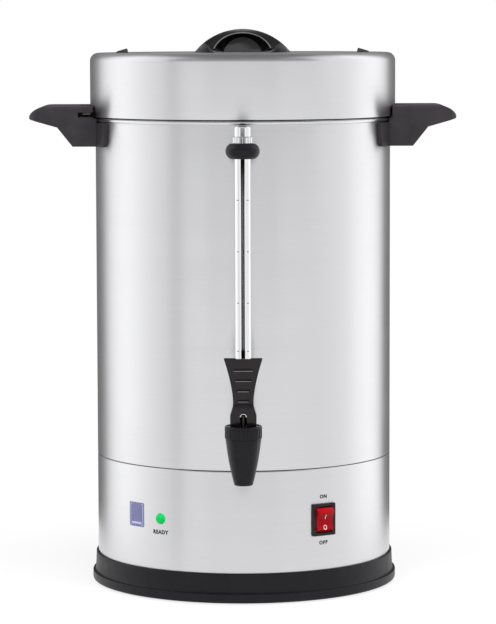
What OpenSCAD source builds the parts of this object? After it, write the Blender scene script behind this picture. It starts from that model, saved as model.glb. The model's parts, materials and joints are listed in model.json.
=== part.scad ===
// Percolating coffee urn with a bayonet lid, a sight gauge and a spring tap.
// Millimetres. +Z up, the front faces -Y. The origin lies on the vertical
// centre line, in the plane of the foot ring's sole.

/* [Body] */
// Outer radius of the shell and the base skirt
shell_r = 145; // [138:1:155]
// Thickness of the stainless sheet
sheet_t = 0.8; // [0.6:0.1:1]
// Height of the seam between base skirt and shell
seam_z = 127.5; // [125:0.5:135]
// Height of the middle of the tank's rolled rim
rim_z = 457.5; // [440:0.5:480]
// Section radius of the rolled rim
bead_r = 2.2; // [2:0.1:2.6]
// Air gap between the tank's wall and the shell
wall_gap = 4.6; // [4:0.2:6]
// Height of the tank's floor
tank_floor_z = 124; // [122:0.5:128]
// Radius of the round corner between tank floor and wall
tank_corner_r = 12; // [8:1:14]
// Radius of the well in the tank's floor
well_r = 32; // [29:1:36]
// Depth of the well
well_depth = 14; // [12:1:16]

/* [Base] */
// Height of the base ring's upper lip
base_top_z = 29.5; // [27:0.5:34]
// How far the lip stands out from the skirt
base_lip = 2.1; // [1.6:0.1:3]
// How far the foot flange stands out from the skirt
base_flange = 5.6; // [4.5:0.1:7]
// Height of the foot flange
flange_z = 10.4; // [9:0.2:12]
// Height of the base ring's lower edge above the floor
base_clear = 1.2; // [0.8:0.1:2]
// Thickness of the bottom plate
plate_t = 1; // [0.8:0.1:1.5]
// Height of the bottom plate above the floor
plate_z = 10.2; // [9.5:0.1:11]
// Width of the rubber foot ring
foot_w = 12; // [11:0.5:14]
// Distance of the foot ring's middle in from the shell
foot_inset = 14; // [12:0.5:16]

/* [Lid] */
// How far the lid's skirt stands out from the shell
lid_overhang = 5; // [4:0.5:6]
// Height of the lid, skirt to top
lid_h = 62.2; // [55:0.1:70]
// Radius of the lid's rounded top edge
lid_edge_r = 8; // [5:0.5:12]
// Thickness of the lid's gasket
gasket_t = 1.7; // [1.4:0.1:2.2]
// Length of a lug's tongue out from the lid's skirt
lug_len = 8; // [6:0.5:8.5]
// Width of a lug
lug_w = 16; // [12:1:18]
// Thickness of a lug
lug_t = 2; // [1.6:0.2:3.4]
// Turn of the lid from open to locked, in degrees
lock_angle = 10; // [6:1:10]
// Distance of the pointer wedges from the centre line
pointer_r = 118.5; // [100:0.5:125]

/* [Knob] */
// Half length of the knob at its foot
knob_half = 47.4; // [42:0.5:55]
// Height of the knob
knob_h = 23; // [20:0.5:28]
// Half depth of the knob at its foot
knob_depth = 27; // [24:0.5:32]
// Half width of a finger scoop at the lid
scoop_half = 24.5; // [22:0.5:30]
// Wall between the two finger scoops
web_t = 9; // [7:0.5:12]
// Thickness of the arch above a scoop
arch_t = 2.6; // [2.2:0.1:4]

/* [Handles] */
// Reach of the handle's tip beyond the shell
handle_reach = 65; // [50:0.5:70]
// Half width of the wing
wing_half = 42; // [40:1:48]
// Half width of the saddle pad
pad_half = 66; // [60:1:74]
// Thickness of the saddle pad
pad_t = 3.6; // [3:0.2:5]
// Height of the handle, bottom edge to top face
handle_h = 39.3; // [36:0.1:46]
// Rise of the handle's top above the middle of the rim
handle_rise = 13.2; // [12:0.2:17]
// Wall of the hollow under the wing
handle_wall = 3.2; // [2.6:0.2:4]
// Gap between the lid's skirt and the handle
lid_gap = 1.5; // [1.2:0.1:2]

/* [Sight gauge] */
// Distance of the gauge's axis from the shell
gauge_reach = 23; // [21:0.5:26]
// Outer radius of the glass tube
glass_r = 5.5; // [5:0.1:5.8]
// Wall of the glass tube
glass_t = 1.2; // [1:0.1:1.5]
// Outer radius of the slotted guard
guard_r = 7.9; // [7.7:0.1:8.4]
// Wall of the guard
guard_t = 0.9; // [0.7:0.1:1.1]
// Width of the guard's slot
slot_w = 3.2; // [2.4:0.2:4]
// Radius of the bulb bracket
bulb_r = 16; // [14:0.5:17]
// Height of the bulb bracket
bulb_h = 14; // [12:0.5:16]
// Height of the knurled collar
collar_h = 9.3; // [8:0.1:11]
// Radius of the knurled collar
collar_r = 10; // [9.4:0.1:11]
// Height of the cap
cap_h = 9.7; // [8:0.1:11]
// Radius of the cap
cap_r = 8.1; // [7.8:0.1:9]
// Drop from the middle of the rim to the cap's top
gauge_drop = 2; // [1:0.5:6]

/* [Tap] */
// Distance of the tap's axis from the shell
tap_reach = 54; // [52:0.5:60]
// Height of the shank's axis above the seam
shank_rise = 29.5; // [28:0.5:34]
// Outer radius of the shank
shank_r = 8; // [7.6:0.1:8.4]
// Bore radius of the shank
shank_bore_r = 5.5; // [5:0.1:6]
// Outer radius of the bonnet ring
bonnet_r = 17.4; // [17:0.1:18.5]
// Height of the bonnet ring
bonnet_h = 11.4; // [10:0.2:13]
// Number of flutes round the bonnet ring
flutes = 24; // [16:2:32]
// Height of the spout body below the bonnet ring
spout_h = 44.4; // [42:0.2:48]
// Radius of the spout body's mouth end
mouth_r = 8.9; // [8.4:0.1:9.6]
// Bore radius of the mouth
mouth_bore_r = 6; // [5.5:0.1:6.4]
// Radius of the valve chamber
chamber_r = 12.5; // [12:0.1:13]
// Radius of the stem
stem_r = 2.5; // [2.3:0.1:2.8]
// Radius of the lever's cross pin
pin_r = 1.5; // [1.3:0.1:1.6]
// Height of the cross pin above the bonnet ring
pin_rise = 8.5; // [8:0.1:9]
// Wire radius of the tap's spring
wire_r = 0.6; // [0.5:0.05:0.7]
// Turns of the tap's spring
spring_turns = 3.5; // [3:0.5:4]

/* [Tap lever] */
// Height of the lever above the bonnet ring
lever_h = 64; // [58:0.5:72]
// Half width of the lever's top
lever_half = 18; // [15:0.2:20]
// Half width of the lever's neck
neck_half = 9.5; // [8.2:0.1:10]
// Half width of the lever's fork
fork_half = 12.2; // [11.8:0.1:13]
// Thickness of the lever's blade
blade_t = 7; // [6:0.2:9]
// Grip grooves across the blade
grooves = 4; // [3:1:5]
// Distance between two grooves
groove_pitch = 9.7; // [8:0.1:10.5]

/* [Controls] */
// Height of the middle of the power switch
switch_z = 77.9; // [72:0.1:84]
// Direction of the power switch, in degrees right of the front
switch_az = 31.65; // [25:0.05:40]
// Width of the switch's bezel
bezel_w = 25.5; // [24.5:0.1:27]
// Height of the switch's bezel
bezel_h = 31; // [30:0.1:33]
// Thickness of the switch's bezel
bezel_t = 1.9; // [1.5:0.1:2.5]
// Width of the rocker
rocker_w = 17.6; // [16:0.2:18.4]
// Tilt of the rocker either side of the middle, in degrees
rocker_tilt = 9; // [7:0.5:10]
// Direction of the indicator lamp, in degrees left of the front
lamp_az = 33.4; // [25:0.1:40]
// Height of the indicator lamp
lamp_z = 78.5; // [70:0.5:88]
// Radius of the indicator lamp's lens
lens_r = 5.45; // [4.8:0.05:6]
// Rise of the lens's dome
lens_rise = 3.4; // [2:0.1:4]
// Height of the cord gland at the rear
gland_z = 52; // [46:1:60]
// Radius of the gland's cable hole
gland_bore_r = 4; // [3.5:0.1:4.4]

/* [Heaters] */
// Wall of the brew heater round the well
brew_band_t = 8; // [6:0.5:9]
// Height of the brew heater
brew_band_h = 12; // [10:0.5:13]
// Section width of the keep-warm element
element_w = 8; // [7:0.5:9]
// Distance of the keep-warm element's middle from the well
element_reach = 42; // [40:1:48]
// Radius of the thermostat
thermostat_r = 8.5; // [7.5:0.1:9]

/* [Percolator] */
// Outer radius of the pump tube
tube_r = 6.5; // [6:0.1:7.5]
// Radius of the pump's bell foot
bell_r = 26; // [23:0.5:28]
// Rise of the pump's valve disc
valve_travel = 3; // [2:0.5:4]
// Radius of the filter basket
basket_r = 104; // [92:1:112]
// Height of the filter basket
basket_h = 92; // [70:1:110]
// Height of the basket's floor above the tank floor
basket_rise = 214; // [190:1:216]

/* [Hidden] */
$fn = 96;

// Clearances
seat_gap = 0.3;       // two pieces that rest on each other
run_gap = 0.05;       // a shaft in its bore
hole_gap = 0.3;       // a screw or a tube in a sheet's hole

// Colours
steel = [0.78, 0.78, 0.79];
bright = [0.9, 0.9, 0.92];
black = [0.13, 0.13, 0.14];
rubber = [0.2, 0.2, 0.21];

// Tank, shell and rim
shell_in_r = shell_r - sheet_t;
tank_out_r = shell_in_r - wall_gap;
tank_in_r = tank_out_r - sheet_t;
bead_mid_r = shell_r + seat_gap;
rim_top = rim_z + bead_r;
rim_bottom = rim_z - bead_r;
shell_top = rim_top - sheet_t - seat_gap;
seam_gap = 0.5;
joggle_h = 8;
well_floor_z = tank_floor_z - well_depth;
tank_under_z = tank_floor_z - sheet_t;
tank_joint_z = tank_floor_z + tank_corner_r + 2;

// Screws with pan heads
screw_r = 2;
screw_head_r = 3.8;
screw_head_t = 2.3;

// Base
web_z = plate_z + plate_t;
web_h = 2.8;
skirt_z = web_z + web_h;
plate_r = shell_r + 0.4;
web_w = 25;
web_in_r = shell_r - web_w;
foot_circle_r = shell_r - foot_inset;
boss_r = 5;
boss_h = 8;
foot_recess = 4.5;
vent_circles = [shell_r * 0.2, shell_r * 0.33];
vent_r = 3;
stud_r = 2.5;
stud_inset = 50;
stud_circle_r = shell_r - stud_inset;
stud_nut_h = 3.6;
stud_end = 0.8;

// Lid
lid_r = shell_r + lid_overhang;
lid_in_r = lid_r - sheet_t;
lid_z = rim_top + 0.1;
lid_top = lid_z + lid_h;
gasket_z = rim_top + seat_gap;
ledge_z = gasket_z + gasket_t + seat_gap;
ledge_in_r = shell_r - 3;
ledge_h = 8;
knob_screw_inset = 10;
knob_screw_x = knob_half - knob_screw_inset;
pointer_len = 12;
pointer_w = 9;
pointer_h = 4.2;
pointer_pin_r = 1.5;
lug_z = lid_z + 1.5;
lug_tip_r = lid_r + lug_len;

// Handles
handle_in_r = lid_r + lid_gap;
handle_top = rim_z + handle_rise;
handle_bottom = handle_top - handle_h;
handle_tip = shell_r + handle_reach;
pad_r = shell_r + 0.1;
slot_floor_z = lug_z - 1.4;
slot_roof_z = lug_z + lug_t + 1.4;
slot_out_r = lug_tip_r + 2.2;
slot_stop = lug_tip_r * sin(lock_angle) + lug_w / 2 + 1.6;
handle_screw_az = 8;
handle_screw_z = handle_bottom + 9.6;
crown_r = 23.4;
crown_from = 30;
handle_root = handle_in_r + 13.9;
pad_corner_r = 5;
pad_slant = 3;

// Sight gauge and tap
washer_t = 2;
gauge_y = shell_r + gauge_reach;
tap_y = shell_r + tap_reach;
shank_z = seam_z + shank_rise;
cap_top = rim_z - gauge_drop;
collar_top = cap_top - cap_h;
bulb_top = collar_top - collar_h + 2.5;
bulb_z = bulb_top - bulb_h / 2;
block_r = 10.8;
block_top = shank_z + 17;
gauge_nut_top = block_top + 8;
glass_z = block_top - 4;
glass_top = cap_top - 7.5;
block_front = gauge_y + 13;
bonnet_z = shank_z + shank_r + 2.3;
bonnet_top = bonnet_z + bonnet_h;
dish_depth = 0.8;
dish_z = bonnet_top - dish_depth;
mouth_z = bonnet_z - spout_h;
seat_z = shank_z - shank_bore_r - 1.5;
plug_z = bonnet_z - 2.7;
cup_h = 4.6;
pin_z = bonnet_top + pin_rise;
lever_top = bonnet_top + lever_h;
lever_z = dish_z + seat_gap;
neck_z = pin_z + 15.5;
groove_r = 1.1;
heel_r = 5.6;
knuckle_r = 5.7;
fork_front = 7.9;
blade_lean = 12;
groove_top = lever_top - 10.9;
collar_rear_r = shank_r + 2.2;
shank_nut_h = 7;

// Controls
switch_box_w = bezel_w - 3.7;
switch_box_h = bezel_h - 3.2;
switch_depth = 20;
pivot_y = 2.5;
pivot_r = 1.2;
rocker_r = switch_box_h / 2 - 1.6;
lamp_stem_r = lens_r - 1.3;
gland_thread_r = gland_bore_r + 3.6;
gland_length = 25;
gland_out = 13.5;
gland_plate = [26, 36];
gland_plate_t = 2.6;

// Heaters
element_r = well_r + element_reach;
bracket_in_r = well_r + sheet_t + brew_band_t + 5.2;
bracket_t = 1.5;
bracket_z = tank_under_z - element_w - bracket_t;
thermostat_circle_r = (bracket_in_r + element_r - element_w / 2) / 2 - 1;
blade_w = 6;
blade_space = 6;

// Percolator
basket_z = tank_floor_z + basket_rise;
basket_top = basket_z + basket_h;
pump_foot_h = 2;
pump_plate_z = well_floor_z + pump_foot_h;
pump_plate_t = 1.5;
valve_z = pump_plate_z + pump_plate_t + seat_gap;
valve_t = 1;
guide_pin_r = 1.5;
guide_top = valve_z + valve_t + valve_travel + seat_gap;
tube_top = basket_top + 14;

// Points of an arc about (x, y)
function arc(x, y, r, from, to, n = 12) =
    [for (i = [0 : n]) let (a = from + (to - from) * i / n) [x + r * cos(a), y + r * sin(a)]];

// A value between a and b
function mix(a, b, t) = a + (b - a) * t;

// Outline with rounded corners, centred
module round_rect(w, h, r) {
    square([w - 2 * r, h], center = true);
    square([w, h - 2 * r], center = true);
    for (x = [-1, 1], y = [-1, 1])
        translate([x * (w / 2 - r), y * (h / 2 - r)]) circle(r);
}

// Cylinder along Y from y0 to y1
module y_rod(r, y0, y1, z = 0) {
    translate([0, y0, z]) rotate([-90, 0, 0]) cylinder(r = r, h = y1 - y0);
}

// Hexagon nut along Y
module y_hex(flats, y0, y1, z = 0) {
    translate([0, y0, z]) rotate([-90, 0, 0]) cylinder(r = flats / sqrt(3), h = y1 - y0, $fn = 6);
}

// Places a piece on the skirt: its -Y points outward, its origin lies on the skirt
module on_skirt(az, z) {
    rotate([0, 0, az]) translate([0, -shell_r, z]) children();
}

// Everything inside the skirt's outer face, as seen from a piece placed on it
module skirt_core(r = shell_r) {
    translate([0, shell_r, -60]) cylinder(r = r, h = 120, $fn = 180);
}

// Ring between two radii
module ring(r_in, r_out, z, h) {
    translate([0, 0, z]) difference() {
        cylinder(r = r_out, h = h, $fn = 180);
        translate([0, 0, -1]) cylinder(r = r_in, h = h + 2, $fn = 180);
    }
}

// ---------------------------------------------------------------- body

module outer_shell() {
    color(steel) difference() {
        ring(shell_in_r, shell_r, seam_z + seam_gap, shell_top - seam_z - seam_gap);
        y_rod(shank_r + hole_gap, -shell_r - 2, -shell_r + 6, shank_z);
        y_rod(screw_r + hole_gap, -shell_r - 2, -shell_r + 6, bulb_z);
        handle_screw_places() y_rod(screw_r + hole_gap, -shell_r - 2, -shell_r + 6);
    }
}

module base_skirt() {
    lap_r = shell_in_r - 0.1;
    color(steel) difference() {
        rotate_extrude($fn = 180) polygon([
            [shell_r, skirt_z], [shell_r, seam_z - 1], [shell_r - 0.3, seam_z - 0.3],
            [lap_r, seam_z], [lap_r, seam_z + joggle_h], [lap_r - sheet_t, seam_z + joggle_h],
            [lap_r - sheet_t, seam_z - 0.8], [shell_in_r, seam_z - 1.8], [shell_in_r, skirt_z]]);
        on_skirt(switch_az, switch_z) translate([0, 4, 0])
            cube([switch_box_w + 0.4, 12, switch_box_h + 0.4], center = true);
        on_skirt(-lamp_az, lamp_z) y_rod(lamp_stem_r + hole_gap, -2, 6);
        // Slot from the lower edge, so that the wired gland slides in
        on_skirt(180, 0) translate([-gland_thread_r - hole_gap, -2, 0])
            cube([2 * (gland_thread_r + hole_gap), 8, gland_z + gland_thread_r + hole_gap]);
    }
}

// Rolled sheet with the rim's bead, welded to the drawn floor
module tank_wall() {
    color(bright) difference() {
        rotate_extrude($fn = 180) {
            translate([tank_in_r, tank_joint_z]) square([sheet_t, rim_top - tank_joint_z]);
            translate([tank_in_r, rim_top - sheet_t]) square([bead_mid_r - tank_in_r, sheet_t]);
            difference() {
                translate([bead_mid_r, rim_z]) circle(bead_r, $fn = 48);
                translate([bead_mid_r, rim_z]) circle(bead_r - sheet_t, $fn = 48);
                translate([bead_mid_r - 10.2, rim_z - 10]) square([10, 20]);
            }
        }
        y_rod(shank_r + hole_gap, -shell_r, -tank_in_r + 8, shank_z);
    }
}

// Half section of the floor's inside or outside, with the well in its middle
module floor_section(r, floor_z, corner, well, well_z, top) {
    polygon(concat([[0, top], [r, top]], arc(r - corner, floor_z + corner, corner, 0, -90, 10),
                   [[well, floor_z], [well, well_z], [0, well_z]]));
}

module tank_floor() {
    color(bright) rotate_extrude($fn = 180) difference() {
        floor_section(tank_out_r, tank_under_z, tank_corner_r + sheet_t,
                      well_r + sheet_t, well_floor_z - sheet_t, tank_joint_z);
        floor_section(tank_in_r, tank_floor_z, tank_corner_r,
                      well_r, well_floor_z, tank_joint_z + 1);
    }
}

// ---------------------------------------------------------------- base

module base_ring() {
    lip_r = shell_r + base_lip;
    flange_r = shell_r + base_flange;
    groove_r = shell_r + 0.3;
    color(black) difference() {
        union() {
            rotate_extrude($fn = 180) polygon(concat(
                [[plate_r + 0.4, base_clear], [flange_r - 2.2, base_clear]],
                arc(flange_r - 2.2, base_clear + 2.2, 2.2, -80, 0, 6),
                arc(flange_r - 0.8, flange_z - 0.8, 0.8, 0, 90, 4),
                [[lip_r + 1.3, flange_z + 0.3], [lip_r + 0.7, flange_z + 1.4]],
                arc(lip_r - 1, base_top_z - 1, 1, 10, 90, 5),
                [[groove_r, base_top_z], [groove_r, skirt_z], [web_in_r, skirt_z],
                 [web_in_r, web_z], [plate_r + 0.4, web_z]]));
            foot_places() translate([0, 0, web_z]) cylinder(r = boss_r, h = boss_h);
        }
        foot_places() translate([0, 0, web_z - 1]) cylinder(r = screw_r + 0.02, h = boss_h - 1);
    }
}

// Four screws in the foot ring, on the diagonals
module foot_places() {
    for (a = [45 : 90 : 315]) rotate([0, 0, a]) translate([foot_circle_r, 0, 0]) children();
}

// Three studs under the tank
module stud_places() {
    for (a = [90 : 120 : 330]) rotate([0, 0, a]) translate([stud_circle_r, 0, 0]) children();
}

module base_plate() {
    color(steel) difference() {
        translate([0, 0, plate_z]) cylinder(r = plate_r, h = plate_t, $fn = 180);
        foot_places() translate([0, 0, plate_z - 1]) cylinder(r = screw_r + hole_gap, h = plate_t + 2);
        stud_places() translate([0, 0, plate_z - 1]) cylinder(r = stud_r + hole_gap, h = plate_t + 2);
        for (a = [0 : 30 : 330], r = vent_circles)
            rotate([0, 0, a]) translate([r, 0, plate_z - 1]) cylinder(r = vent_r, h = plate_t + 2);
    }
}

// Rubber ring that the urn stands on, with a recess for each screw's head
module foot_ring() {
    half = foot_w / 2;
    color(rubber) difference() {
        rotate_extrude($fn = 180) translate([foot_circle_r, 0]) polygon([
            [-half, 0.8], [0.8 - half, 0], [half - 0.8, 0], [half, 0.8],
            [half + 1, plate_z], [-half - 1, plate_z]]);
        foot_places() {
            translate([0, 0, -1]) cylinder(r = screw_head_r + 0.4, h = 1 + foot_recess);
            cylinder(r = screw_r + hole_gap, h = plate_z + 1);
        }
    }
}

module foot_screws() {
    color(bright) foot_places() {
        translate([0, 0, foot_recess - screw_head_t]) cylinder(r = screw_head_r, h = screw_head_t);
        translate([0, 0, foot_recess - 0.1]) cylinder(r = screw_r, h = web_z + boss_h - 3 - foot_recess);
    }
}

module tank_studs() {
    stud_z = plate_z - stud_nut_h - stud_end;
    color(steel) stud_places() translate([0, 0, stud_z]) cylinder(r = stud_r, h = tank_under_z - stud_z);
}

module stud_nuts() {
    color(bright) stud_places() translate([0, 0, plate_z - stud_nut_h]) difference() {
        cylinder(r = stud_r * 1.85, h = stud_nut_h, $fn = 6);
        translate([0, 0, -1]) cylinder(r = stud_r + 0.02, h = stud_nut_h + 2);
    }
}

// ---------------------------------------------------------------- lid

module lid_cover() {
    color(steel) difference() {
        rotate_extrude($fn = 180) difference() {
            polygon(concat([[0, lid_z], [lid_r, lid_z]],
                           arc(lid_r - lid_edge_r, lid_top - lid_edge_r, lid_edge_r, 0, 90, 12),
                           [[0, lid_top]]));
            polygon(concat([[0, lid_z - 1], [lid_in_r, lid_z - 1]],
                           arc(lid_r - lid_edge_r, lid_top - lid_edge_r, lid_edge_r - sheet_t, 0, 90, 12),
                           [[0, lid_top - sheet_t]]));
        }
        for (x = [-1, 1]) {
            translate([x * knob_screw_x, 0, lid_top - 5]) cylinder(r = screw_r + hole_gap, h = 10);
            translate([x * pointer_r, 0, lid_top - 5]) cylinder(r = pointer_pin_r + 0.02, h = 10);
        }
    }
}

// Two tongues on the lid's skirt that slide into the handles
module lid_lugs() {
    color(bright) difference() {
        intersection() {
            translate([-lug_tip_r, -lug_w / 2, lug_z]) cube([2 * lug_tip_r, lug_w, lug_t]);
            translate([0, 0, lug_z]) cylinder(r = lug_tip_r, h = lug_t, $fn = 180);
        }
        translate([0, 0, lug_z - 1]) cylinder(r = lid_r, h = lug_t + 2, $fn = 180);
    }
}

module lid_ledge_ring() {
    color(steel) rotate_extrude($fn = 180) polygon([
        [ledge_in_r, ledge_z], [lid_in_r, ledge_z], [lid_in_r, ledge_z + ledge_h],
        [lid_in_r - sheet_t, ledge_z + ledge_h], [lid_in_r - sheet_t, ledge_z + sheet_t],
        [ledge_in_r, ledge_z + sheet_t]]);
}

module lid_gasket() {
    color([0.85, 0.84, 0.8]) rotate_extrude($fn = 180) polygon([
        [ledge_in_r - 2, gasket_z], [bead_mid_r + 0.5, gasket_z], [bead_mid_r + 1, gasket_z + gasket_t],
        [ledge_in_r - 2, gasket_z + gasket_t]]);
}

// Arch of the given half width and height, standing on the X axis
module arch(half, h) {
    r = (half * half + h * h) / (2 * h);
    intersection() {
        translate([0, h - r]) circle(r, $fn = 180);
        translate([-half, 0]) square([2 * half, h + 1]);
    }
}

// Two elliptic scoops, front and rear, leave a web under the arch
module lid_knob() {
    scoop_h = knob_h - arch_t;
    scoop_r = (scoop_half * scoop_half + scoop_h * scoop_h) / (2 * scoop_h);
    taper = 0.45;
    depth = knob_depth - web_t / 2;
    floor_t = 1.2;
    color(black) translate([0, 0, lid_top]) difference() {
        intersection() {
            rotate([90, 0, 0]) linear_extrude(2 * knob_depth, center = true) arch(knob_half, knob_h);
            rotate([90, 0, 90]) linear_extrude(2 * knob_half, center = true) arch(knob_depth, knob_h);
            linear_extrude(knob_h + 1) round_rect(2 * knob_half, 2 * knob_depth, knob_depth - 4);
        }
        for (side = [0, 180]) rotate([0, 0, side]) intersection() {
            translate([0, -knob_depth, scoop_h - scoop_r]) rotate([-90, 0, 0])
                cylinder(r1 = scoop_r + taper * depth * 0.45, r2 = scoop_r - taper * depth * 0.55,
                         h = depth, $fn = 120);
            translate([-knob_half, -2 * knob_depth, floor_t]) cube([2 * knob_half, 2 * knob_depth, knob_h]);
        }
        for (x = [-1, 1])
            translate([x * knob_screw_x, 0, -1]) cylinder(r = screw_r + 0.02, h = 7);
    }
}

module knob_screws() {
    color(bright) for (x = [-1, 1]) translate([x * knob_screw_x, 0, lid_top - sheet_t]) {
        translate([0, 0, -screw_head_t]) cylinder(r = screw_head_r, h = screw_head_t);
        translate([0, 0, -0.1]) cylinder(r = screw_r, h = sheet_t + 5.6);
    }
}

module lid_pointers() {
    half = pointer_len / 2;
    color(black) for (side = [0, 180]) rotate([0, 0, side]) translate([pointer_r, 0, lid_top]) {
        rotate([90, 0, 0]) linear_extrude(pointer_w, center = true)
            polygon([[-half, 0], [0.8 - half, pointer_h - 0.6], [1.6 - half, pointer_h],
                     [half - 1, pointer_h / 3], [half - 0.2, 0]]);
        translate([0, 0, -sheet_t - 1.6]) cylinder(r = pointer_pin_r, h = sheet_t + 1.8);
    }
}

// ---------------------------------------------------------------- handles

// Rounded top and tip of the handle, from tip to top, moved inward by inset
function handle_crown(inset) =
    arc(handle_tip - crown_r * cos(crown_from), handle_top - crown_r, crown_r - inset, crown_from, 90, 12);

// Front outline of the right handle, in X and Z
module handle_outline() {
    polygon(concat([[100, handle_bottom], [handle_root, handle_bottom],
                    [handle_root + 0.9, handle_bottom + 0.9],
                    [handle_root + 15, handle_bottom + 18.6], [handle_tip - 1.2, handle_top - 12.7]],
                   handle_crown(0), [[100, handle_top]]));
}

// Finger hollow behind that outline, open below
module hollow_outline() {
    x0 = slot_out_r + handle_wall;
    polygon(concat([[x0, handle_bottom - 5], [handle_tip - handle_wall - 1.2, handle_bottom - 5]],
                   handle_crown(handle_wall), [[x0, handle_top - handle_wall]]));
}

// Outline of the wing from above: its end is round about the urn's own axis
module wing_plan(half, tip, r) {
    x = sqrt(pow(tip - r, 2) - pow(half - r, 2));
    turn = atan2(half - r, x);
    polygon(concat([[100, -half]], arc(x, r - half, r, -90, -turn, 6), arc(0, 0, tip, -turn, turn, 8),
                   arc(x, half - r, r, turn, 90, 6), [[100, half]]));
}

// Outline across the wing, in Y and Z, with rounded top edges
module wing_section(half, r) {
    polygon(concat([[-half, handle_bottom - 5], [half, handle_bottom - 5]],
                   arc(half - r, handle_top - r, r, 0, 90, 6),
                   arc(-half + r, handle_top - r, r, 90, 180, 6)));
}

// Outline of the saddle pad, in Y and Z, with slanted lower corners
module pad_outline() {
    x = pad_half - pad_slant - pad_corner_r;
    z = handle_bottom + pad_corner_r;
    polygon(concat([[-pad_half, rim_bottom - 0.8]], arc(-x, z, pad_corner_r, 190, 270, 6),
                   arc(x, z, pad_corner_r, -90, -10, 6), [[pad_half, rim_bottom - 0.8]]));
}

// Four screws, one on each side of each handle
module handle_screw_places() {
    for (side = [0, 180], a = [-handle_screw_az, handle_screw_az])
        rotate([0, 0, side + 90 + a]) translate([0, 0, handle_screw_z]) children();
}

module handle() {
    difference() {
        union() {
            intersection() {
                translate([0, wing_half + 1, 0]) rotate([90, 0, 0]) linear_extrude(2 * wing_half + 2)
                    handle_outline();
                translate([0, 0, handle_bottom - 1]) linear_extrude(handle_h + 2)
                    wing_plan(wing_half, handle_tip, 13);
                translate([90, 0, 0]) rotate([90, 0, 90]) linear_extrude(handle_tip)
                    wing_section(wing_half, 2.5);
            }
            intersection() {
                translate([0, 0, handle_bottom]) cylinder(r = shell_r + pad_t, h = handle_h, $fn = 180);
                translate([90, 0, 0]) rotate([90, 0, 90]) linear_extrude(80) pad_outline();
            }
        }
        // Seat on the shell, clear of the rim and of the lid
        translate([0, 0, handle_bottom - 1]) cylinder(r = pad_r, h = handle_h + 2, $fn = 180);
        translate([0, 0, rim_bottom - 0.6])
            cylinder(r = bead_mid_r + bead_r + 0.5, h = handle_h, $fn = 180);
        translate([0, 0, lid_z - 1]) cylinder(r = handle_in_r, h = handle_h, $fn = 180);
        // Entry notch for the lug, and the slot that it turns into
        translate([handle_in_r - 4, -lug_w / 2 - 2, slot_floor_z])
            cube([slot_out_r - handle_in_r + 4, lug_w + 4, handle_h]);
        translate([handle_in_r - 12, -slot_stop, slot_floor_z])
            cube([slot_out_r - handle_in_r + 12, slot_stop + wing_half + 1, slot_roof_z - slot_floor_z]);
        // Finger hollow, open below
        intersection() {
            translate([0, wing_half - handle_wall, 0]) rotate([90, 0, 0])
                linear_extrude(2 * (wing_half - handle_wall)) hollow_outline();
            translate([0, 0, handle_bottom - 30]) linear_extrude(handle_h + 30)
                wing_plan(wing_half - handle_wall, handle_tip - handle_wall, 10);
        }
        for (a = [-handle_screw_az, handle_screw_az]) rotate([0, 0, 90 + a])
            y_rod(screw_r + 0.02, -shell_r - 13, -shell_r + 5, handle_screw_z);
    }
}

module handle_right() { color(black) handle(); }

module handle_left() { color(black) rotate([0, 0, 180]) handle(); }

module handle_screws() {
    color(bright) handle_screw_places() {
        y_rod(screw_head_r, -shell_in_r + 0.15, -shell_in_r + 0.15 + screw_head_t);
        y_rod(screw_r, -shell_r - 12, -shell_in_r + 0.2);
    }
}

// ---------------------------------------------------------------- sight gauge

module gauge_block() {
    color(black) difference() {
        union() {
            y_rod(12, -block_front, -shell_r - washer_t, shank_z);
            translate([0, -gauge_y, shank_z]) cylinder(r = block_r, h = block_top - shank_z);
        }
        y_rod(shank_r + run_gap, -block_front - 1, -shell_r, shank_z);
        translate([0, -gauge_y, shank_z]) cylinder(r = glass_r - glass_t, h = block_top);
        translate([0, -gauge_y, glass_z - 1.5]) cylinder(r = glass_r + run_gap, h = block_top);
    }
}

module gauge_nut() {
    color(bright) translate([0, -gauge_y, block_top + 2.4]) difference() {
        rotate_extrude() difference() {
            polygon([[0, 0], [block_r + 0.6, 0], [block_r + 0.6, 4.4], [block_r - 0.6, 5.6], [0, 5.6]]);
            translate([-1, -1]) square([1 + glass_r + hole_gap, 8]);
        }
        for (a = [0 : 18 : 342]) rotate([0, 0, a])
            translate([block_r + 0.9, 0, -1]) cylinder(r = 0.8, h = 8, $fn = 24);
    }
}

module gauge_seal() {
    color([0.85, 0.84, 0.8]) {
        translate([0, -gauge_y, 0]) ring(glass_r + 0.02, block_r - 0.4, block_top, 2.4);
        translate([0, -gauge_y, 0]) ring(glass_r + 0.02, glass_r + 1.6, collar_top, 1.8);
    }
}

module gauge_glass() {
    color([0.85, 0.92, 0.95, 0.4]) translate([0, -gauge_y, 0])
        ring(glass_r - glass_t, glass_r, glass_z, glass_top - glass_z);
}

module gauge_guard() {
    guard_top = bulb_top + 1.5;
    color(bright) difference() {
        translate([0, -gauge_y, 0])
            ring(guard_r - guard_t, guard_r, gauge_nut_top, guard_top - gauge_nut_top);
        for (side = [-1, 1])
            translate([-slot_w / 2, -gauge_y + (side < 0 ? -guard_r - 1 : 0), gauge_nut_top + 14])
                cube([slot_w, guard_r + 1, bulb_top - bulb_h - gauge_nut_top - 12]);
    }
}

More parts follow.
